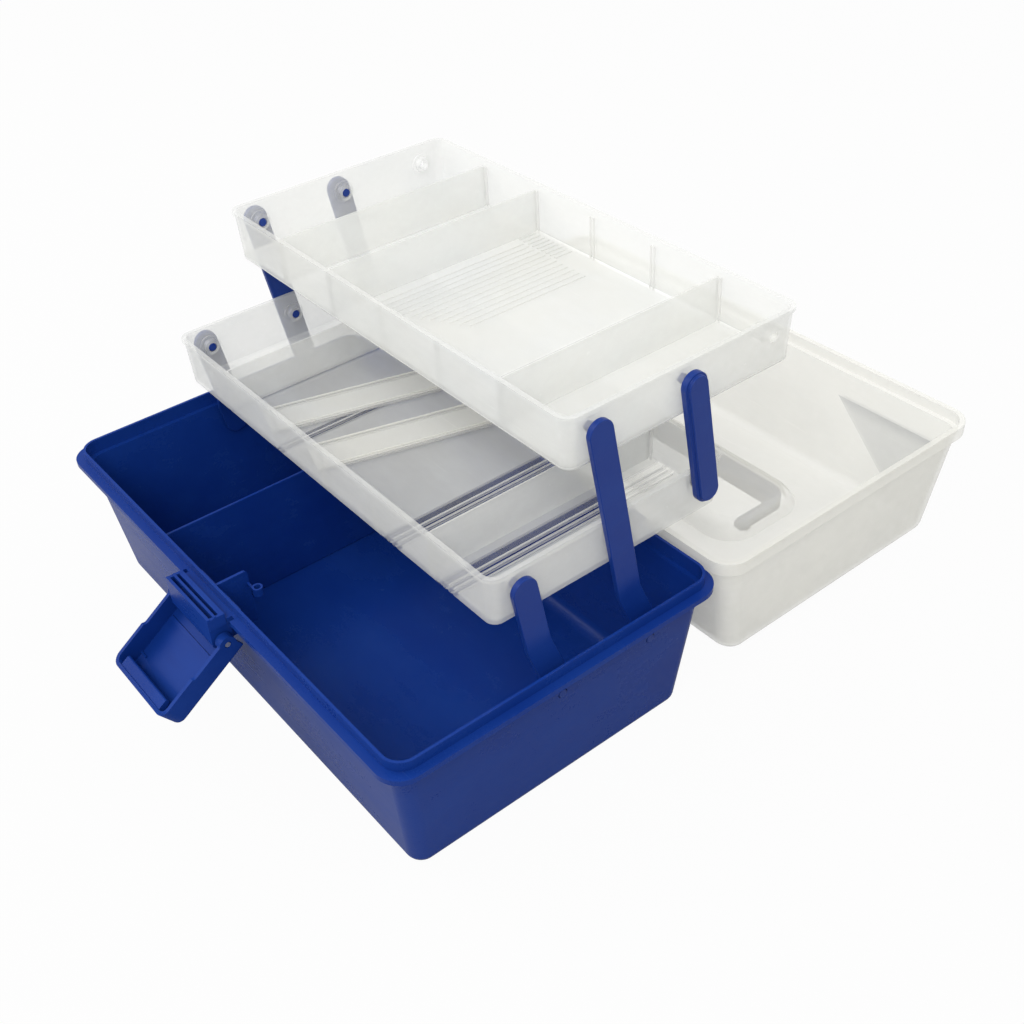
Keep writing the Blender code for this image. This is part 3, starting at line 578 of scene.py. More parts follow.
@dataclass(frozen=True)
class FrostedPlastic(Finish):
    """Milky, half clear polypropylene with fine grain, cloudy flow and clearer floor lines.

    window is a painted shadow: a three-sided patch of a wall tinted grey, strongest near its top,
    given as left, right, low, high and foot (metres).
    """

    name: str = "frosted_moulding"
    colour: tuple = (0.87, 0.87, 0.83, 1)
    cool: tuple = (0.81, 0.825, 0.83, 1)
    body: float = 0.29
    floor_body: float = 0.0
    gloss: float = 0.28
    lines: tuple = ()
    floor: tuple = (-1.0, 1.0)
    centre: tuple = (0.0, 0.0, 0.0)
    turn: float = 0.0
    grain: float = 700.0
    painted_shadow: tuple = ()
    # grey of the painted shadow patch
    shade: tuple = (0.40, 0.41, 0.40, 1)

    def draw(self) -> bpy.types.Material:
        """Make the material."""
        sheet = Sheet(self.name)
        cloud = sheet.noise(11, 4).ease(0.3, 0.72)
        flow = sheet.noise(30, 5, (0.4, 1, 1.3)).ease(0.35, 0.75)
        grain = sheet.noise(self.grain, 3)
        scratch = sheet.noise(220, 6, (0.07, 1, 1), 0.7).ease(0.62, 0.76)
        colour = sheet.blend(cloud * 0.5 + flow * 0.25, self.colour, self.cool)
        # Painted shadow: a grey tint blended into a three-sided patch of the far wall, strongest
        # towards its top edge.
        if self.painted_shadow:
            left, right, low, high, foot = self.painted_shadow
            along, across, up = sheet.axes()
            climb = (high - low) / (foot - left)
            inside = (along - left - (high - up) / climb).ease(0.0, 0.8 * MM)
            fall = (right - foot) / (high - low)
            inside = inside * (1 - (along - foot - (up - low) * fall).ease(0.0, 0.8 * MM))
            inside = inside * (1 - (up - high).ease(-0.4 * MM, 0.4 * MM)) * across.above(0.3)
            shadow_strength = inside * (0.45 + 0.35 * (up - high + 9 * MM).ease(0.0, 9 * MM))
            colour = sheet.blend(shadow_strength, colour, self.shade)
        alpha = self.body + cloud * 0.05 + flow * 0.05 + scratch * 0.04
        if self.lines or self.floor_body:
            along, _, up = sheet.axes(self.centre, self.turn)
            low, high = self.floor
            near = (up - low).ease(0.0, 0.2 * MM) * (1 - (up - high).ease(0.0, 0.2 * MM))
            alpha = alpha + near * self.floor_body
        if self.lines:
            mask: Wire | None = None
            for place, width, strength in self.lines:
                line = (1 - (along - place).size().ease(width * 0.4, width * 0.6)) * strength
                mask = line if mask is None else mask.most(line)
            alpha = alpha * (1 - mask * near)
        rough = self.gloss + cloud * 0.08 + flow * 0.05 + scratch * 0.1
        normal = sheet.bump(grain, 0.03 * MM)
        normal = sheet.bump(flow, 0.08 * MM, normal)
        shader = sheet.put("ShaderNodeBsdfPrincipled", None,
                           {"Base Color": colour, "Roughness": rough, "IOR": PLASTIC_IOR,
                            "Alpha": alpha, "Normal": normal})
        return sheet.close(shader)


@dataclass(frozen=True)
class DrawnSteel(Finish):
    """Drawn steel wire with fine marks along it."""

    name: str = "drawn_steel"
    colour: tuple = (0.58, 0.58, 0.60, 1)
    dull: tuple = (0.42, 0.42, 0.44, 1)

    def draw(self) -> bpy.types.Material:
        """Make the material."""
        sheet = Sheet(self.name)
        marks = sheet.noise(900, 4, (0.05, 1, 1))
        tint = sheet.blend(marks, self.colour, self.dull)
        shader = sheet.put("ShaderNodeBsdfPrincipled", None,
                           {"Base Color": tint, "Metallic": 1.0, "Roughness": 0.24 + marks * 0.16,
                            "Normal": sheet.bump(marks, 0.02 * MM)})
        return sheet.close(shader)


BLUE = BluePlastic()
STEEL = DrawnSteel()


# ---- Base ----------------------------------------------------------------------------
@dataclass
class Base:
    """The blue tub with its flange, lip, latch block, hinge knuckles and tray guide."""

    slimmer: float = 71 * MM      # half of the length less half of the width
    foot_in: float = 9.5 * MM
    foot_round: float = 6 * MM
    flange: float = 3.2 * MM
    overhang: float = 5 * MM
    lip: float = 6 * MM
    lip_wall: float = 1.6 * MM
    step: float = 2 * MM
    wall: float = 2.2 * MM
    floor: float = 2.4 * MM
    corner: float = 10 * MM
    block_half: float = 24 * MM
    block_reach: float = 10.5 * MM
    finish: BluePlastic = BLUE

    def build(self) -> None:
        """Model and dress the base."""
        tub = span("base_tub")
        self.half_x = tub.high.x - self.overhang
        self.half_y = self.half_x - self.slimmer
        self.top = tub.high.z
        self.ledge = self.top - self.lip
        body = self._shell()
        self._latch_block(body)
        self._knuckles(body)
        self._guide(body)
        self._pin_holes(body)
        body.soften(0.35 * MM, 2)
        body.dress(self.finish, "base", "base_blue", "base_tub")
        self._divider()

    def _shell(self) -> Piece:
        """The drafted tub, its flange and its lip."""
        x, y, inset = self.half_x, self.half_y, self.step
        front = y + self.overhang
        body = Piece.rounded("base_body", (-x + inset, -y + inset, 0),
                             (x - inset, y - inset, self.ledge), self.corner,
                             (self.foot_in, self.foot_in), self.foot_round)
        flange = Piece.rounded("flange", (-x - self.overhang, -front, self.ledge - self.flange),
                               (x + self.overhang, front - 1.5 * MM, self.ledge),
                               self.corner + self.overhang)
        lip = Piece.rounded("lip", (-x, -y, self.ledge - 1 * MM), (x, y, self.top),
                            self.corner + inset)
        body.combine(Joinery.ADD, flange, lip)
        wall = self.lip_wall
        mouth = Piece.rounded("mouth", (-x + wall, -y + wall, self.ledge - 3 * MM),
                              (x - wall, y - wall, self.top + 1 * MM), self.corner + inset - wall)
        skin = inset + self.wall
        room = Piece.rounded("room", (-x + skin, -y + skin, self.floor),
                             (x - skin, y - skin, self.ledge), self.corner - self.wall,
                             (self.foot_in - 0.3 * MM, self.foot_in - 0.3 * MM), 8 * MM)
        return body.combine(Joinery.CUT, mouth, room)

    def _latch_block(self, body: Piece) -> None:
        """The block with two open channels that the latch turns in front of."""
        edge = -self.half_y - self.overhang
        front = edge - self.block_reach
        half, rise = self.block_half, 4 * MM
        axis = pivot("latch_hinge")
        low = axis.z - 5 * MM
        core = Piece.block("block", (-half + 0.6 * MM, front, low),
                           (half - 0.6 * MM, edge + 2 * MM, self.ledge - 1.6 * MM))
        core.round_edges(lambda at, way: abs(way.x) > 0.9 and at.z < low + 1 * MM
                         and at.y < front + 1 * MM, 3.5 * MM, 5)
        ribs = []
        for start, end, lift in ((0.0, 1.7, rise), (3.9, 5.4, rise), (7.4, 10.2, rise - 0.6 * MM)):
            ribs.append(Piece.block(
                "rib", (-half + 0.3 * MM, front + start * MM, self.ledge - 3 * MM),
                (half - 0.3 * MM, front + end * MM, self.ledge + lift)))
        for side in (-1, 1):
            ends = sorted((side * half, side * (half - 1.8 * MM)))
            ribs.append(Piece.block("cheek", (ends[0], front + 0.4 * MM, self.ledge - 4 * MM),
                                    (ends[1], edge - 0.3 * MM, self.ledge + rise - 0.5 * MM)))
        web = Piece.block("web", (-half + 2 * MM, edge + 1 * MM, axis.z - 3.5 * MM),
                          (half - 2 * MM, -self.half_y + 5 * MM, self.ledge - 1 * MM))
        body.combine(Joinery.ADD, core, *ribs, web)
        notches = []
        for side in (-1, 1):
            ends = sorted((side * (half + 0.3 * MM), side * (half + 3.6 * MM)))
            notches.append(Piece.block("notch", (ends[0], edge - 1 * MM, self.ledge - 5 * MM),
                                       (ends[1], edge + 3.2 * MM, self.ledge + 1 * MM)))
        body.combine(Joinery.CUT, *notches)

    def _knuckles(self, body: Piece) -> None:
        """Two hinge knuckles on the rear edge, with their feet."""
        hinge = pivot("lid_hinge")
        parts = []
        for node in ("hinge_pin_left", "hinge_pin_right"):
            middle = span(node).middle.x
            low, high = middle - 6 * MM, middle + 6 * MM
            parts.append(Piece.rod("knuckle", (low, hinge.y, hinge.z), (high, hinge.y, hinge.z),
                                   KNUCKLE_RADIUS))
            parts.append(Piece.block("foot", (low, self.half_y + 0.3 * MM, self.ledge - 1.6 * MM),
                                     (high, hinge.y + 1.3 * MM, hinge.z - 0.9 * MM)))
        body.combine(Joinery.ADD, *parts)

    def _guide(self, body: Piece) -> None:
        """The short fin behind the latch, with a small round peg beside its end."""
        top = self.ledge + 3.5 * MM
        wall = -self.half_y + self.lip_wall
        end = -82.6 * MM
        half, peg_x = 0.9 * MM, 10.6 * MM
        fin = Piece.block("fin", (-half, wall + 1.6 * MM, self.ledge - 33 * MM),
                          (half, end, self.ledge - 1 * MM))
        crest = Piece.block("crest", (-half, wall - 0.8 * MM, self.ledge - 2.5 * MM),
                            (half, end, top))
        crest.round_edges(lambda at, way: abs(way.x) > 0.9 and at.y > wall + 5 * MM
                          and at.z > top - 1 * MM, 2.5 * MM, 5)
        peg = Piece.rod("peg", (peg_x, end, self.ledge - 7 * MM),
                        (peg_x, end, self.ledge - 2 * MM), 3 * MM, 28)
        arm = Piece.block("peg_arm", (0.3 * MM, end - 1.8 * MM, self.ledge - 6.4 * MM),
                          (9.6 * MM, end - 0.4 * MM, self.ledge - 4.6 * MM))
        body.combine(Joinery.ADD, fin, crest, arm, peg)
        body.combine(Joinery.CUT, Piece.rod("hollow", (peg_x, end, self.ledge - 6 * MM),
                                            (peg_x, end, self.ledge), 1.9 * MM, 28))

    def _pin_holes(self, body: Piece) -> None:
        """Holes for the lower pins of the links, through both end walls."""
        drills = []
        for name in ("short_link_right_pivot", "long_link_right_pivot"):
            at = pivot(name)
            for side in (-1, 1):
                drills.append(Piece.rod("drill", (side * (self.half_x - 12 * MM), at.y, at.z),
                                        (side * (self.half_x + 4 * MM), at.y, at.z), PIN_HOLE))
        body.combine(Joinery.CUT, *drills)

    def _divider(self) -> None:
        """The partition across the base, with a thicker top edge."""
        at = span("base_divider")
        plate = Piece.block("base_partition", at.low, at.high)
        taper = self.foot_in * at.half.z * 2 / self.ledge
        for side in (-1, 1):
            plate.shift(lambda spot, _, s=side: s * spot.y > 0 and spot.z < at.middle.z,
                        (0, -side * taper, 0))
        plate.round_edges(lambda spot, way: abs(way.x) > 0.9 and spot.z < at.middle.z, 8 * MM, 6)
        plate.soften(0.5 * MM, 3)
        plate.dress(self.finish, "base", "base_blue", "base_divider")


# ---- Latch ---------------------------------------------------------------------------
@dataclass
class Latch:
    """The hollow flap, modelled shut and then swung open."""

    wall: float = 2.3 * MM
    length: float = 52 * MM
    reach: float = 14.2 * MM
    barrel: float = 5 * MM
    finish: BluePlastic = BluePlastic(name="latch_moulding", gloss=0.3, sheen=0.06, scuffing=0.3,
                                      colour=(0.0042, 0.027, 0.19, 1))

    def build(self) -> None:
        """Model and dress the flap and its pin."""
        axis = pivot("latch_hinge")
        half = span("latch_flap").half.x
        face = axis.y - 9.5 * MM
        back = face + self.reach
        tip = axis.z + self.length
        low = axis.z - 4 * MM
        shell = Piece.block("latch_shell", (-half, face, low), (half, back, tip))
        shell.round_edges(lambda at, way: abs(way.y) > 0.9 and at.z > tip - 1 * MM, 6 * MM, 8)
        shell.round_edges(lambda at, way: abs(way.y) < 0.1 and at.y < face + 0.2 * MM
                          and at.z > low + 0.2 * MM, 1.6 * MM, 4)
        inner = half - self.wall
        cavity = Piece.block("cavity", (-inner, face + self.wall, low - 9 * MM),
                             (inner, back + 5 * MM, tip - self.wall))
        cavity.round_edges(lambda at, way: abs(way.y) > 0.9 and at.z > axis.z, 4 * MM, 6)
        relief = Piece.block("relief", (-half - 1 * MM, axis.y + 3.3 * MM, low - 9 * MM),
                             (half + 1 * MM, back + 9 * MM, axis.z + self.length * 0.5))
        relief.round_edges(lambda at, way: abs(way.x) > 0.9 and at.z > axis.z
                           and at.y < axis.y + 4 * MM, 2.5 * MM, 5)
        heel = Piece.block("heel", (-inner, face - 1 * MM, low - 9 * MM),
                           (inner, face + 3 * MM, axis.z - 0.6 * MM))
        shell.combine(Joinery.CUT, cavity, relief, heel)
        hook = Piece.block("hook", (-inner + 5 * MM, back - 5.6 * MM, tip - 8.6 * MM),
                           (inner - 5 * MM, back - 0.6 * MM, tip - 1 * MM))
        hook.round_edges(lambda at, way: abs(way.x) > 0.9 and at.z < tip - 5 * MM, 1.2 * MM, 4)
        hook.shift(lambda at, way: at.z < tip - 5 * MM and at.y < back - 3 * MM, (0, 2 * MM, 0))
        rib = Piece.block("rib", (-inner + 1.5 * MM, face + 1 * MM, axis.z + 13 * MM),
                          (inner - 1.5 * MM, face + 3.1 * MM, axis.z + 15.5 * MM))
        ears = []
        for side in (-1, 1):
            ears.append(Piece.rod("ear", (side * 24.6 * MM, axis.y, axis.z),
                                  (side * half, axis.y, axis.z), self.barrel))
            ends = sorted((side * (inner - 5.5 * MM), side * (inner + 0.5 * MM)))
            ears.append(Piece.block("stop", (ends[0], face + 1 * MM, tip - 12.5 * MM),
                                    (ends[1], face + 3.4 * MM, tip - 11.3 * MM)))
        shell.combine(Joinery.ADD, hook, rib, *ears)
        shell.combine(Joinery.CUT, Piece.rod("bore", (-half - 1 * MM, axis.y, axis.z),
                                             (half + 1 * MM, axis.y, axis.z), 1.9 * MM))
        shell.soften(0.35 * MM, 2)
        shell.turned(about_x(axis, 125))
        shell.dress(self.finish, "latch_flap", "latch_blue", "latch_flap")


# ---- Trays ---------------------------------------------------------------------------
@dataclass
class Tray:
    """One frosted tray with bosses, divider slots and floor ribs."""

    node: str
    dividers: tuple = ()
    ridges: tuple = ()
    clear: tuple = ()
    floor_body: float = 0.3
    wall: float = 1.5 * MM
    bead: float = 1.2 * MM
    bead_height: float = 2.2 * MM
    draft: float = 1.2 * MM
    foot_round: float = 2.5 * MM
    corner: float = 8 * MM
    cells: int = 6
    boss_drop: float = 12.6 * MM
    boss_spacing: float = 61 * MM

    def build(self) -> None:
        """Model and dress the tray and its dividers."""
        self.at = span(self.node)
        self.finish = FrostedPlastic(
            name=f"{self.node}_moulding", lines=self.clear, floor_body=self.floor_body,
            floor=(self.at.low.z - 1 * MM, self.at.low.z + self.wall + 1 * MM))
        body = self._shell()
        self._bosses(body)
        body.soften(0.25 * MM, 2)
        body.join(self._slots(), *self._floor_ridges())
        body.dress(self.finish, self.node, "tray_frosted", self.node)
        for name in self.dividers:
            self._divider(name)

    def _box(self, name: str, inset: float, low: float, high: float, **more: float) -> Piece:
        """A rounded block that stands in from the rim by one inset."""
        at = self.at
        return Piece.rounded(name, (at.low.x + inset, at.low.y + inset, low),
                             (at.high.x - inset, at.high.y - inset, high),
                             self.corner - inset, **more)

    def _shell(self) -> Piece:
        """Walls, floor and bead."""
        at, bead = self.at, self.bead
        body = self._box(f"{self.node}_body", bead, at.low.z, at.high.z - 0.1 * MM,
                         foot=(self.draft, self.draft), foot_round=self.foot_round)
        rim = self._box("rim", 0.0, at.high.z - self.bead_height, at.high.z)
        body.combine(Joinery.ADD, rim)
        room = self._box("room", bead + self.wall, at.low.z + self.wall, at.high.z + 1 * MM,
                         foot=(self.draft, self.draft), foot_round=2 * MM)
        return body.combine(Joinery.CUT, room)

    def _bosses(self, body: Piece) -> None:
        """Pivot bosses inside both end walls, with their holes."""
        at = self.at
        height = at.high.z - self.boss_drop
        rings, drills = [], []
        for side in (-1, 1):
            inside = at.half.x - self.bead - self.wall - 0.5 * MM
            for step in (-1, 0, 1):
                y = at.middle.y + step * self.boss_spacing
                for reach, radius in ((-4, 4.9), (-1.1, 6.7)):
                    rings.append(Piece.rod("ring", (side * (inside + 0.9 * MM), y, height),
                                           (side * (inside + reach * MM), y, height), radius * MM))
                drills.append(Piece.rod("drill", (side * (inside - 6 * MM), y, height),
                                        (side * (inside + 5 * MM), y, height), PIN_HOLE))
        body.combine(Joinery.ADD, *rings)
        body.combine(Joinery.CUT, *drills)

    def slot_places(self) -> list[float]:
        """X of each divider slot."""
        pitch = 2 * (self.at.half.x - self.bead - self.wall) / self.cells
        return [pitch * (i - self.cells / 2) for i in range(1, self.cells)]

    def _slots(self) -> Piece:
        """Pairs of upright ribs on the front and rear walls."""
        at = self.at
        inner = at.half.y - self.bead - self.wall - self.draft
        places = self.slot_places()
        low, high = at.low.z + self.wall * 0.6, at.high.z - 3.5 * MM
        first = places[0]
        rib = Piece.block(f"{self.node}_slots",
                          (first + 0.95 * MM, at.middle.y - inner - 0.3 * MM, low),
                          (first + 1.8 * MM, at.middle.y - inner + 1.1 * MM, high))
        rib.soften(0.3 * MM, 2)
        shifts = []
        for place in places:
            for cheek in (0.0, -2.75 * MM):
                for across in (0.0, 2 * inner - 0.8 * MM):
                    shifts.append((place - first + cheek, across, 0))
        return rib.copies(shifts[1:])

    def _floor_ridges(self) -> list[Piece]:
        """Low ridges on the floor, as (x, y start, y end, width, height) from the tray's middle."""
        made = []
        top = self.at.low.z + self.wall
        for x, start, end, width, height in self.ridges:
            y = self.at.middle.y
            ridge = Piece.block(f"{self.node}_ridge", (x - width / 2, y + start, top - 0.2 * MM),
                                (x + width / 2, y + end, top + height))
            made.append(ridge.soften(min(width, height) * 0.35, 2))
        return made

    def _divider(self, name: str) -> None:
        """A plate that stands in one pair of slots."""
        at = span(name)
        plate = Piece.block(name.replace("divider", "plate"), at.low, at.high)
        plate.round_edges(lambda spot, way: abs(way.x) > 0.9, 2.2 * MM, 5)
        plate.soften(0.3 * MM, 2)
        plate.dress(FrostedPlastic(name="divider_moulding", body=0.30), self.node,
                    "divider_frosted", name)


# ---- Lid and handle ------------------------------------------------------------------
@dataclass
class Lid:
    """The frosted lid, lying open, with its pocket and the folded handle."""

    wall: float = 1.8 * MM
    bead: float = 1.6 * MM
    step: float = 1.6 * MM
    skirt: float = 9 * MM
    depth: float = 81 * MM
    seat: float = 89.6 * MM       # height of the rim when the lid is shut
    half_width: float = 106.8 * MM
    corner: float = 13.6 * MM
    draft: tuple = (7 * MM, 14.5 * MM)
    foot_round: float = 7 * MM
    pocket_depth: float = 10.5 * MM
    pocket: tuple = (100 * MM, 34 * MM, 18 * MM)    # half length, half width, corner
    pocket_shift: float = 16 * MM
    keeper_half: float = 20 * MM
    # The lid's far wall carries a painted shadow patch, a grey tint and not a recess.
    finish: FrostedPlastic = FrostedPlastic(
        name="lid_moulding", body=0.42, colour=(0.95, 0.94, 0.875, 1), cool=(0.90, 0.90, 0.86, 1),
        painted_shadow=(83 * MM, 160 * MM, 32 * MM, 71 * MM, 131 * MM))

    def build(self) -> None:
        """Model and dress the lid and the handle."""
        at = span("lid_shell")
        hinge = pivot("lid_hinge")
        self.middle = Vector((0, 2 * hinge.y, 0))
        self.rim = 2 * hinge.z - self.seat
        self.floor = self.rim - self.depth
        self.half = Vector((at.half.x - self.bead, self.half_width, 0))
        body = self._shell()
        self._pocket(body)
        self._hinge(body, hinge)
        self._keeper(body)
        body.soften(0.3 * MM, 2)
        body.dress(self.finish, "lid", "lid_frosted", "lid_shell")
        self._handle()

    def _box(self, name: str, inset: float, low: float, high: float, **more: object) -> Piece:
        """A rounded block that stands in from the lid's wall by one inset."""
        half = self.half - Vector((inset, inset, 0))
        return Piece.rounded(name, (-half.x, self.middle.y - half.y, low),
                             (half.x, self.middle.y + half.y, high), self.corner - inset, **more)

    def _shell(self) -> Piece:
        """Walls, floor and skirt."""
        body = self._box("lid_body", self.step, self.floor, self.rim - 0.5 * MM, foot=self.draft,
                         foot_round=self.foot_round)
        skirt = self._box("skirt", -self.bead, self.rim - self.skirt, self.rim)
        skirt.round_edges(lambda at, way: abs(way.z) < 0.1
                          and at.z < self.rim - self.skirt + 0.1 * MM, 1 * MM, 4)
        body.combine(Joinery.ADD, skirt)
        room = self._box("room", self.wall + self.step, self.floor + self.wall, self.rim + 2 * MM,
                         foot=self.draft, foot_round=self.foot_round - self.wall)
        seat = self._box("seat", self.wall, self.rim - self.skirt + self.wall, self.rim + 1 * MM)
        return body.combine(Joinery.CUT, room, seat)

    def _pocket(self, body: Piece) -> None:
        """The pocket for the handle, which stands up as a bulge inside the lid."""
        half_x, half_y, corner = self.pocket
        centre = self.middle.y + self.pocket_shift
        level = self.floor + self.pocket_depth
        for how, grow, low, high, top, turn in (
                (Joinery.ADD, 4.6 * MM, self.floor + 0.6 * MM, level + self.wall, 6 * MM, 6.5 * MM),
                (Joinery.CUT, 0.0, self.floor - 1 * MM, level, 3 * MM, 2.5 * MM)):
            tool = Piece.rounded("pocket", (-half_x - grow, centre - half_y - grow, low),
                                 (half_x + grow, centre + half_y + grow, high), corner + grow,
                                 head=(top, top), head_round=turn)
            body.combine(how, tool)
        handle = pivot("handle_pivot")
        reach = half_x - 0.6 * MM
        body.combine(Joinery.CUT, Piece.rod("drill", (-reach, handle.y, handle.z),
                                            (reach, handle.y, handle.z), PIN_HOLE))

    def _hinge(self, body: Piece, hinge: Vector) -> None:
        """Notches round the base's knuckles and the lid's own knuckles beside them."""
        notches, parts = [], []
        for node in ("hinge_pin_left", "hinge_pin_right"):
            middle = span(node).middle.x
            notches.append(Piece.block(
                "notch", (middle - 6.3 * MM, hinge.y - 5.4 * MM, self.rim - self.skirt - 0.3 * MM),
                (middle + 6.3 * MM, hinge.y + 6.2 * MM, self.rim + 1 * MM)))
            for end in (-1, 1):
                near = middle + end * 6.6 * MM
                far = near + end * 9.6 * MM
                parts.append(Piece.rod("barrel", (near, hinge.y, hinge.z), (far, hinge.y, hinge.z),
                                       KNUCKLE_RADIUS))
                low, high = min(near, far), max(near, far)
                parts.append(Piece.block(
                    "foot", (low, hinge.y, hinge.z - 2.4 * MM),
                    (high, self.middle.y - self.half.y + 0.9 * MM, hinge.z + 1.3 * MM)))
        body.combine(Joinery.CUT, *notches)
        body.combine(Joinery.ADD, *parts)

    def _keeper(self, body: Piece) -> None:
        """The lug that the latch hooks over."""
        wall = self.middle.y + self.half.y
        half = self.keeper_half
        lug = Piece.block("keeper", (-half, wall - 7 * MM, self.rim - 27.6 * MM),
                          (half, wall + 4.9 * MM, self.rim - 22.3 * MM))
        lug.round_edges(lambda at, way: abs(way.z) > 0.9 and at.y > wall, 2 * MM, 5)
        body.combine(Joinery.ADD, lug)

    def _handle(self) -> None:
        """The carrying handle, folded into its pocket."""
        at = span("handle")
        axis = pivot("handle_pivot")
        outer, arm = 96 * MM, 6 * MM
        far = at.high.y
        bail = Piece.block("carry_handle", (-outer, axis.y - 4 * MM, axis.z - 4 * MM),
                           (outer, far, axis.z + 4 * MM))
        bail.round_edges(lambda spot, way: abs(way.z) > 0.9 and spot.y > axis.y, 15 * MM, 10)
        bail.round_edges(lambda spot, way: abs(way.x) > 0.9 and spot.y < axis.y, 3.9 * MM, 8)
        gap = Piece.block("gap", (-outer + arm, axis.y - 9 * MM, axis.z - 9 * MM),
                          (outer - arm, far - 14 * MM, axis.z + 9 * MM))
        gap.round_edges(lambda spot, way: abs(way.z) > 0.9 and spot.y > axis.y, 8 * MM, 8)
        bail.combine(Joinery.CUT, gap)
        for side in (-1, 1):
            bail.combine(Joinery.ADD, Piece.rod("stub", (side * (outer - 3 * MM), axis.y, axis.z),
                                                (side * 98.9 * MM, axis.y, axis.z), PIN_RADIUS))
        bail.soften(1.2 * MM, 3)
        bail.dress(BluePlastic(name="handle_moulding", gloss=0.33), "handle", "handle_blue",
                   "handle")


# ---- Links ---------------------------------------------------------------------------
@dataclass
class Link:
    """One swinging link, modelled upright at its lower pivot and then leaned."""

    node: str
    segments: int
    thickness: float
    on_base: bool
    width: float = 15 * MM
    joggle: tuple = (15 * MM, 29 * MM)
    joggle_step: float = 7 * MM
    side_gap: float = 0.6 * MM    # between the link and the end wall of the tray
    panel_rise: float = 1.8 * MM
    tray_pin: float = 7.4 * MM    # how far a pin reaches inside the rim of the tray
    base_pin_end: float = 171.5 * MM
    finish: BluePlastic = BluePlastic(name="link_moulding", gloss=0.30, sheen=0.3, scuffing=0.35)

    def build(self) -> None:
        """Model and dress the link."""
        low = pivot(f"{self.node}_pivot")
        lift = pivot("lower_tray_pivot") - pivot("long_link_right_pivot")
        pitch = math.hypot(lift.y, lift.z)
        lean = math.degrees(math.atan2(-lift.y, lift.z))
        side = 1 if low.x > 0 else -1
        tray = span("lower_tray")
        plane = tray.high.x + self.side_gap
        length, radius = self.segments * pitch, self.width / 2
        strip = Piece.block(f"{self.node}_strip", (plane, -radius, -radius),
                            (plane + self.thickness, radius, length + radius))
        strip.round_edges(lambda at, way: abs(way.x) > 0.9, radius * 0.998, 14)
        if self.on_base:
            start, end = self.joggle
            strip.slice((0, 0, start), (0, 0, 1))
            strip.slice((0, 0, end), (0, 0, 1))
            strip.shift(lambda at, _: at.z < start + 0.1 * MM, (self.joggle_step, 0, 0))
        else:
            margin = 1.3 * MM
            outer = plane + self.thickness
            strip.shift(lambda at, _: at.x > outer - 0.1 * MM, (-self.panel_rise, 0, 0))
            panel = Piece.block("panel", (outer - 3 * MM, -radius + margin, -radius + margin),
                                (outer, radius - margin, length + radius - margin))
            panel.round_edges(lambda at, way: abs(way.x) > 0.9, (radius - margin) * 0.998, 14)
            strip.combine(Joinery.ADD, panel)
        strip.soften(0.55 * MM, 3)
        pins = []
        for number in range(self.segments + 1):
            z = number * pitch
            ends = (plane + 1 * MM, tray.high.x - self.tray_pin)
            if self.on_base and number == 0:
                ends = (plane + 8 * MM, self.base_pin_end)
            pin = Piece.rod("pin", (ends[0], 0, z), (ends[1], 0, z), PIN_RADIUS)
            pins.append(pin.soften(0.4 * MM, 2))
        strip.join(*pins)
        if side < 0:
            strip.turned(Matrix.Rotation(math.pi, 4, "Z"))
        place = Matrix.Translation((0, low.y, low.z)) @ Matrix.Rotation(math.radians(lean), 4, "X")
        strip.turned(place)
        strip.dress(self.finish, self.node, "link_blue", self.node)


# ---- Small parts ---------------------------------------------------------------------
@dataclass
class SmallParts:
    """Steel pins and the spare dividers."""

    def build(self) -> None:
        """Dress the pins and model the spare dividers."""
        for node in ("latch_pin", "hinge_pin_left", "hinge_pin_right"):
            for slot in frame["nodes"][node].material_slots:
                slot.material = STEEL.material()
        for label in ("left", "right"):
            self._spare(f"lower_tray_spare_divider_{label}")

    def _spare(self, node: str) -> None:
        """A loose divider that lies on the floor of the lower tray."""
        at = span(node)
        turn = math.radians(-16)
        half_width, half_length = 14 * MM, 70.7 * MM
        plate = Piece.block(node.replace("divider", "plate"), (-half_width, -half_length, 0),
                            (half_width, half_length, 1.3 * MM))
        plate.round_edges(lambda spot, way: abs(way.z) > 0.9, 2.2 * MM, 5)
        plate.soften(0.3 * MM, 2)
        lips = []
        for edge in (-half_width + 1.2 * MM, -half_width + 4 * MM,
                     half_width - 4 * MM, half_width - 1.2 * MM):
            lip = Piece.block("lip", (edge - 0.5 * MM, -half_length + 2 * MM, 1.1 * MM),
                              (edge + 0.5 * MM, half_length - 2 * MM, 2.0 * MM))
            lips.append(lip.soften(0.3 * MM, 2))
        plate.join(*lips)
        place = Matrix.Translation((at.middle.x, at.middle.y, at.low.z))
        plate.turned(place @ Matrix.Rotation(turn, 4, "Z"))
        wear = FrostedPlastic(name=f"{node}_moulding", body=0.46, gloss=0.14,
                              centre=tuple(at.middle), colour=(0.95, 0.94, 0.88, 1), turn=-16.0,
                              lines=((-10.8 * MM, 2.2 * MM, 0.9), (13.2 * MM, 1.6 * MM, 0.8)))
        plate.dress(wear, "lower_tray", "divider_frosted", node)


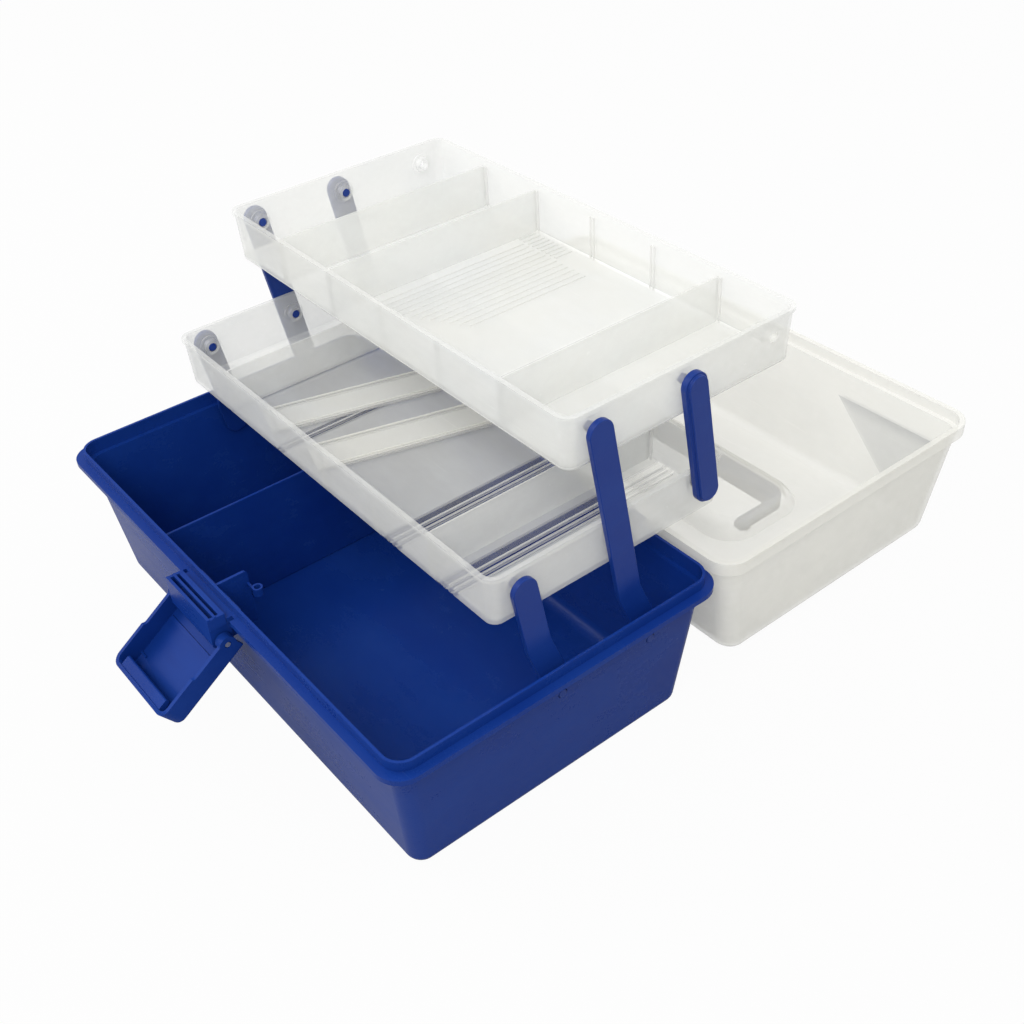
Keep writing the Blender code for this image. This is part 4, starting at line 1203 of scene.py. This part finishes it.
# ---- Studio --------------------------------------------------------------------------
@dataclass
class Studio:
    """Floor, light and camera."""

    camera_place: tuple = (0.52792, -0.29333, 0.54937)
    camera_turn: tuple = (52.0597, 2.5528, 51.1367)    # degrees
    lens: float = 45.52
    world: float = 0.62

    def build(self) -> None:
        """Set up the floor, the world, the lamps and the camera."""
        scene = bpy.context.scene
        scene.view_settings.view_transform = "Standard"
        self._floor()
        self._world()
        self._lamp("key_lamp", (0.9, -0.9, 1.5), 1.1, 18)
        self._lamp("fill_lamp", (-1.2, -0.8, 1.0), 1.3, 15)
        self._lamp("rear_lamp", (0.3, 1.5, 1.3), 1.2, 8)
        eye = bpy.data.cameras.new("camera")
        eye.lens = self.lens
        eye.sensor_width = 36
        eye.clip_start = 0.01
        camera = bpy.data.objects.new("camera", eye)
        camera.location = self.camera_place
        camera.rotation_euler = [math.radians(angle) for angle in self.camera_turn]
        scene.collection.objects.link(camera)
        scene.camera = camera

    def _floor(self) -> None:
        """A pale floor that shows white and keeps a soft shadow."""
        bpy.ops.object.select_all(action="DESELECT")
        bpy.ops.mesh.primitive_plane_add(size=12, location=(0, 0, -0.5 * MM))
        floor = bpy.context.object
        floor.name = "floor"
        bpy.ops.object.transform_apply(location=True)
        sheet = Sheet("pale_floor")
        lit = sheet.put("ShaderNodeBsdfDiffuse", None, {"Color": (0.5, 0.5, 0.5, 1)})
        glow = sheet.put("ShaderNodeEmission", None, {"Color": (1, 1, 1, 1), "Strength": 1.0})
        rays = sheet.put("ShaderNodeLightPath", None, None, "Is Camera Ray")
        floor.data.materials.append(sheet.close(sheet.put(
            "ShaderNodeMixShader", None, {0: rays * 0.96, 1: lit, 2: glow})))

    def _world(self) -> None:
        """Even white light all round, and white where it is seen."""
        world = bpy.data.worlds.new("studio")
        world.use_nodes = True
        nodes, links = world.node_tree.nodes, world.node_tree.links
        rays = nodes.new("ShaderNodeLightPath")
        level = nodes.new("ShaderNodeMapRange")
        level.inputs["To Min"].default_value = self.world
        level.inputs["To Max"].default_value = 1.0
        links.new(rays.outputs["Is Camera Ray"], level.inputs["Value"])
        links.new(level.outputs[0], nodes["Background"].inputs["Strength"])
        nodes["Background"].inputs["Color"].default_value = (1, 1, 1, 1)
        bpy.context.scene.world = world

    @staticmethod
    def _lamp(name: str, place: tuple, size: float, watts: float) -> None:
        """A square soft lamp that faces the box.

        Args:
            name: name of the lamp.
            place: where it stands.
            size: side of the square.
            watts: its power.
        """
        data = bpy.data.lights.new(name, "AREA")
        data.size = size
        data.energy = watts
        lamp = bpy.data.objects.new(name, data)
        lamp.location = place
        aim = Vector((0, 0.1, 0.1)) - Vector(place)
        lamp.rotation_euler = aim.to_track_quat("-Z", "Y").to_euler()
        bpy.context.scene.collection.objects.link(lamp)


def trays() -> list[Tray]:
    """The two trays, with the floor ribs and clear floor lines of each."""
    lower_lines = []
    for start in (58.8 * MM, 108 * MM):
        lower_lines += [(start + 2.8 * MM, 5.6 * MM, 0.8), (start + 8.6 * MM, 3.0 * MM, 1.0),
                        (start + 12.8 * MM, 2.6 * MM, 1.0)]
    lower_lines += [(place, 2.4 * MM, 1.0) for place in (-104.6 * MM, -50.6 * MM, -46.4 * MM)]
    lower_ribs = [(place, -74 * MM, 74 * MM, 1.0 * MM, 0.7 * MM) for place in
                  (65.4 * MM, 69.3 * MM, 73.4 * MM, 114.6 * MM, 118.5 * MM, 122.6 * MM, -48.2 * MM)]
    upper_ribs = [(-44 * MM + 5.2 * MM * i, -60 * MM + 3 * MM * i, 58 * MM, 1.0 * MM, 0.3 * MM)
                  for i in range(12)]
    comb = [(-50 * MM + 4.2 * MM * i, 60 * MM, 73 * MM, 1.4 * MM, 0.4 * MM) for i in range(9)]
    return [Tray("lower_tray", ("lower_tray_divider_left", "lower_tray_divider_right"),
                 tuple(lower_ribs), tuple(lower_lines), 0.04),
            Tray("upper_tray", ("upper_tray_divider_left", "upper_tray_divider_middle",
                                "upper_tray_divider_right"), tuple(upper_ribs + comb))]


def main() -> None:
    """Build the box and its studio."""
    logging.basicConfig(level=logging.INFO, format="%(message)s")
    Studio().build()
    Base().build()
    Latch().build()
    for tray in trays():
        tray.build()
    Lid().build()
    for side in ("left", "right"):
        Link(f"short_link_{side}", 1, 3.4 * MM, True).build()
        Link(f"long_link_{side}", 2, 3.4 * MM, True).build()
        Link(f"top_link_{side}", 1, 5.6 * MM, False).build()
    SmallParts().build()


if __name__ == "__main__":
    main()
